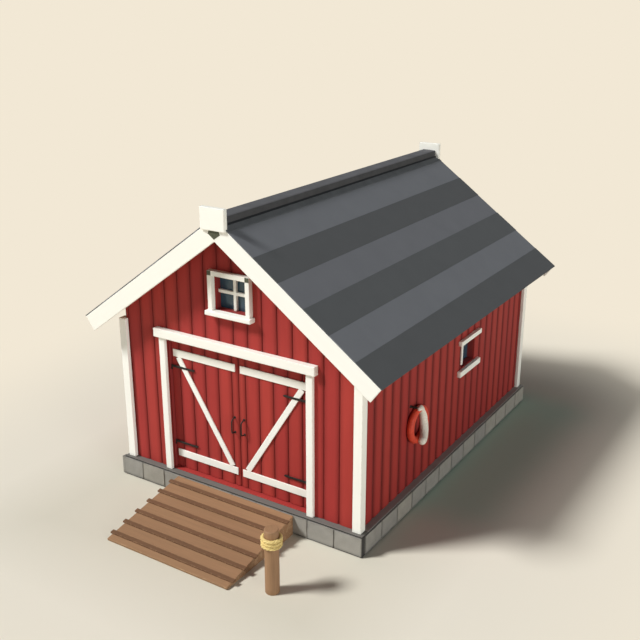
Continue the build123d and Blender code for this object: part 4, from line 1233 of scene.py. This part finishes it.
def slipway():
    # planks and battens are outlines in the ramp's own axes, down its slope and square to it, carried across
    low, (half, backY, topZ) = corners("ramp_deck")
    footY, deep = low[1], slip["plank"]
    length, rise = backY - footY, topZ - slip["foot"]
    slope = math.hypot(length, rise)
    axes = (np.array([0, -length, -rise]) / slope, np.array([0, -rise, length]) / slope, -east)
    top, stretch = np.array([0, backY, topZ]), slope / length
    pitch = (length - slip["battenFirst"] - slip["battenLast"]) / (slip["battens"] - 1)
    centres = (slip["battenFirst"] + pitch * np.arange(slip["battens"])) * stretch
    # planks lie across the ramp and meet under the battens, and the first one's back stands upright on the plinth
    joints = np.concatenate([[0], centres, [slope]])
    planks = []
    for n, (j0, j1) in enumerate(zip(joints[:-1], joints[1:])):
        a0 = j0 + (slip["gap"] / 2 if n else slip["headGap"])
        a1 = j1 - (slip["gap"] / 2 if n < len(joints) - 2 else 0)
        outline = rectangle(a0, a1, -deep, 0, slip["plankEdge"]) if n else roundLoop(
            [(a0 - deep * rise / length + slip["headLap"], -deep), (a1, -deep), (a1, 0), (a0, 0)], slip["headEdge"])
        planks.append(stick(outline, axes, -half, half, slip["headEdge"], slip["plankBow"], 5, origin=top))
    # the closed wedge under the planks
    toe = footY + slip["wedgeFoot"]
    wedge = roundLoop([(backY, 0.0), (backY, topZ - deep * stretch + slip["wedgeUp"]), (toe, slip["wedgeToe"]),
                       (toe, 0.0)], 0.0)
    planks.append(stick(wedge, (north, up, east), -half + slip["wedgeIn"], half - slip["wedgeIn"], 0.001))
    assemble("ramp_deck", [(weatheredDecking, planks)], also=["ramp_stringers"])
    reach, w, tall, lean = (corners("ramp_battens")[1][0], slip["battenWidth"] * stretch / 2, slip["battenHigh"],
                            slip["battenSlope"])
    battens = [stick(roundLoop([(c - w, 0), (c + w, 0), (c + w - lean, tall), (c - w + lean, tall)],
                               slip["battenRound"]), axes, -reach, reach, slip["battenEdge"], slip["battenBow"], 5,
                     origin=top) for c in centres]
    assemble("ramp_battens", [(sawnBattens, battens)])


slipway()
print("ramp")

# mooring post and the rope laid round it

mooring = {"chamfer": 0.014, "footIn": 0.004, "footRise": 0.006, "shaftFrom": 0.1, "shaftTo": 0.02,
           "crown": (0.75, 0.5, 0.25), "peel": 0.0022, "peelScale": (1.0, 1.0, 0.4),
           "ropeRadius": 0.03, "strands": 3, "strandShare": 0.53, "lay": 0.15, "turns": 3,
           "bed": 0.006, "fall": 0.259, "nest": 0.004,
           "startAt": 100,                 # degrees: ends and steps lie behind, away from the ramp
           "stepFrom": 0.82, "perTurn": 110, "ends": (0.5, 0.85, 0.97)}


def mooringPost():
    # surface of turning: foot, straight shaft, quarter-round brow and flat crown
    low, high = corners("mooring_post")
    centre = np.array([*(low + high)[:2] / 2, 0])
    r, top, c = (high[0] - low[0]) / 2, high[2], mooring["chamfer"]
    t = np.linspace(0, math.pi / 2, 6)
    brow = np.stack([r - c + c * np.cos(t), top - c + c * np.sin(t)], 1)
    heights = np.linspace(mooring["shaftFrom"], top - c - mooring["shaftTo"], 9)
    shaft = [(r - mooring["footIn"], 0), (r, mooring["footRise"]), *[(r, z) for z in heights]]
    cover = [(r * share, top) for share in mooring["crown"]]
    shape = turned([(0, 0), *shaft, *brow, *cover, (0, top)], centre, up, east, 64)
    # the shaft is peeled by hand: its radius changes a little round and along
    offset = shape["verts"] - centre
    wobble = mooring["peel"] * (ripple(offset * np.array(mooring["peelScale"]), 7) - 1)
    grow = np.where(np.linalg.norm(offset[:, :2], axis=1) > r * 0.8, 1 + wobble / r, 1)
    shape["verts"][:, :2] = centre[:2] + offset[:, :2] * grow[:, None]
    assemble("mooring_post", [(turnedOakPost, [shape])], smoothAngle=50)


def mooringRope():
    # one rope, three turns: each turn lies level and steps up to the next behind the post, and three strands
    # wind round the rope's own line
    m, circle = mooring, 2 * math.pi
    low, high = corners("mooring_post")
    centre = np.array([*(low + high)[:2] / 2, high[2] - m["fall"]])
    line = (high[0] - low[0]) / 2 + m["ropeRadius"] - m["bed"]
    pitch = 2 * m["ropeRadius"] - m["nest"]
    angle = np.linspace(0, circle * m["turns"], m["perTurn"] * m["turns"])
    turnNo = np.minimum(np.floor(angle / circle), m["turns"] - 1)
    step = np.clip((angle / circle - turnNo - m["stepFrom"]) / (1 - m["stepFrom"]), 0, 1)
    step = step * step * (3 - 2 * step) * (turnNo < m["turns"] - 1)
    start = math.radians(m["startAt"])
    outWay = np.stack([np.cos(angle + start), np.sin(angle + start), 0 * angle], 1)
    path = centre + line * outWay + (pitch * (turnNo + step))[:, None] * up
    upWay = np.cross(outWay, unit(np.gradient(path, axis=0)))
    thick = m["ropeRadius"] * m["strandShare"]
    size = np.full(len(angle), thick)
    size[:3] = thick * np.array(m["ends"])
    size[-3:] = size[:3][::-1]
    strands = []
    for k in range(m["strands"]):
        phase = lengthAlong(path) / m["lay"] * circle + k * circle / m["strands"]
        strandPath = path + (m["ropeRadius"] - thick) * (np.cos(phase)[:, None] * outWay
                                                         + np.sin(phase)[:, None] * upWay)
        strands.append(tube(strandPath, size, 12))
    assemble("mooring_rope", [(laidRope, strands)], smoothAngle=70)


mooringPost()
mooringRope()
print("mooring post and rope")

# studio floor: pale paper that runs out into the lit backdrop

# the near colour is painted shade by the building, the cool one painted light that cancels the wall's red light
studio = {"reach": 400.0, "level": -0.0005, "nearHex": "#CFCABA", "openHex": "#DFD9CA", "redBounceCancelHex": "#B8CBBA",
          "shadeLow": (2.6, -1.1), "shadeHigh": (3.3, 3.2), "shadeTo": 1.3, "nearTo": 1.6, "fadeFrom": 0.8,
          "fadeTo": 7.0}


def distanceFrom(tree, low, high):
    # distance on the floor from the rectangle low to high, as the length of max(|p - middle| - half, 0)
    middle = [-(a + b) / 2 for a, b in zip(low, high)]
    half = [(b - a) / 2 for a, b in zip(low, high)]
    centred = addNode(tree, "Mapping", {"Vector": (addNode(tree, "TexCoord"), "Object"), "Location": (*middle, 0.0)})
    size = addNode(tree, "VectorMath", {0: centred}, operation="ABSOLUTE")
    past = addNode(tree, "VectorMath", {0: size, 1: (*half, 0.0)}, operation="SUBTRACT")
    beyond = addNode(tree, "VectorMath", {0: past, 1: (0.0, 0.0, 0.0)}, operation="MAXIMUM")
    return addNode(tree, "VectorMath", {0: beyond}, operation="LENGTH")


def studioPaper():
    # the paper carries painted shade by the building and a painted cool tint that cancels the red light its wall
    # throws on it, and far out it fades into the backdrop
    mat, tree = startMaterial("studioPaper")
    standLow, standHigh = corners("plinth_blocks")
    away = distanceFrom(tree, (float(standLow[0]), float(corners("ramp_deck")[0][1])),
                        (float(standHigh[0]), float(standHigh[1])))
    byWall = distanceFrom(tree, studio["shadeLow"], studio["shadeHigh"])
    near = addNode(tree, "MapRange", {"Value": away, "From Max": studio["nearTo"]})
    fade = addNode(tree, "MapRange", {"Value": away, "From Min": studio["fadeFrom"], "From Max": studio["fadeTo"]},
                   interpolation_type="SMOOTHSTEP")
    clear = addNode(tree, "MapRange", {"Value": byWall, "From Max": studio["shadeTo"]},
                    interpolation_type="SMOOTHSTEP")
    tint = addNode(tree, "Mix", {0: near, 6: hexToLinear(studio["nearHex"]), 7: hexToLinear(studio["openHex"])},
                   data_type="RGBA")
    tint = addNode(tree, "Mix", {0: clear, 6: hexToLinear(studio["redBounceCancelHex"]), 7: tint}, data_type="RGBA")
    paper = addNode(tree, "BsdfPrincipled", {"Base Color": tint, "Roughness": 0.9, "Specular IOR Level": 0.0})
    glow = addNode(tree, "Emission", {"Color": hexToLinear(light["backdropHex"])})
    addNode(tree, "OutputMaterial", {"Surface": addNode(tree, "MixShader", {0: fade, 1: paper, 2: glow})})
    return mat


floorData = bpy.data.meshes.new("studioFloor")
far, level = studio["reach"], studio["level"]
floorData.from_pydata([(-far, -far, level), (far, -far, level), (far, far, level), (-far, far, level)], [],
                      [[0, 1, 2, 3]])
floorData.materials.append(studioPaper())
studioFloor = intoScene("studioFloor", floorData)
print("studio floor")
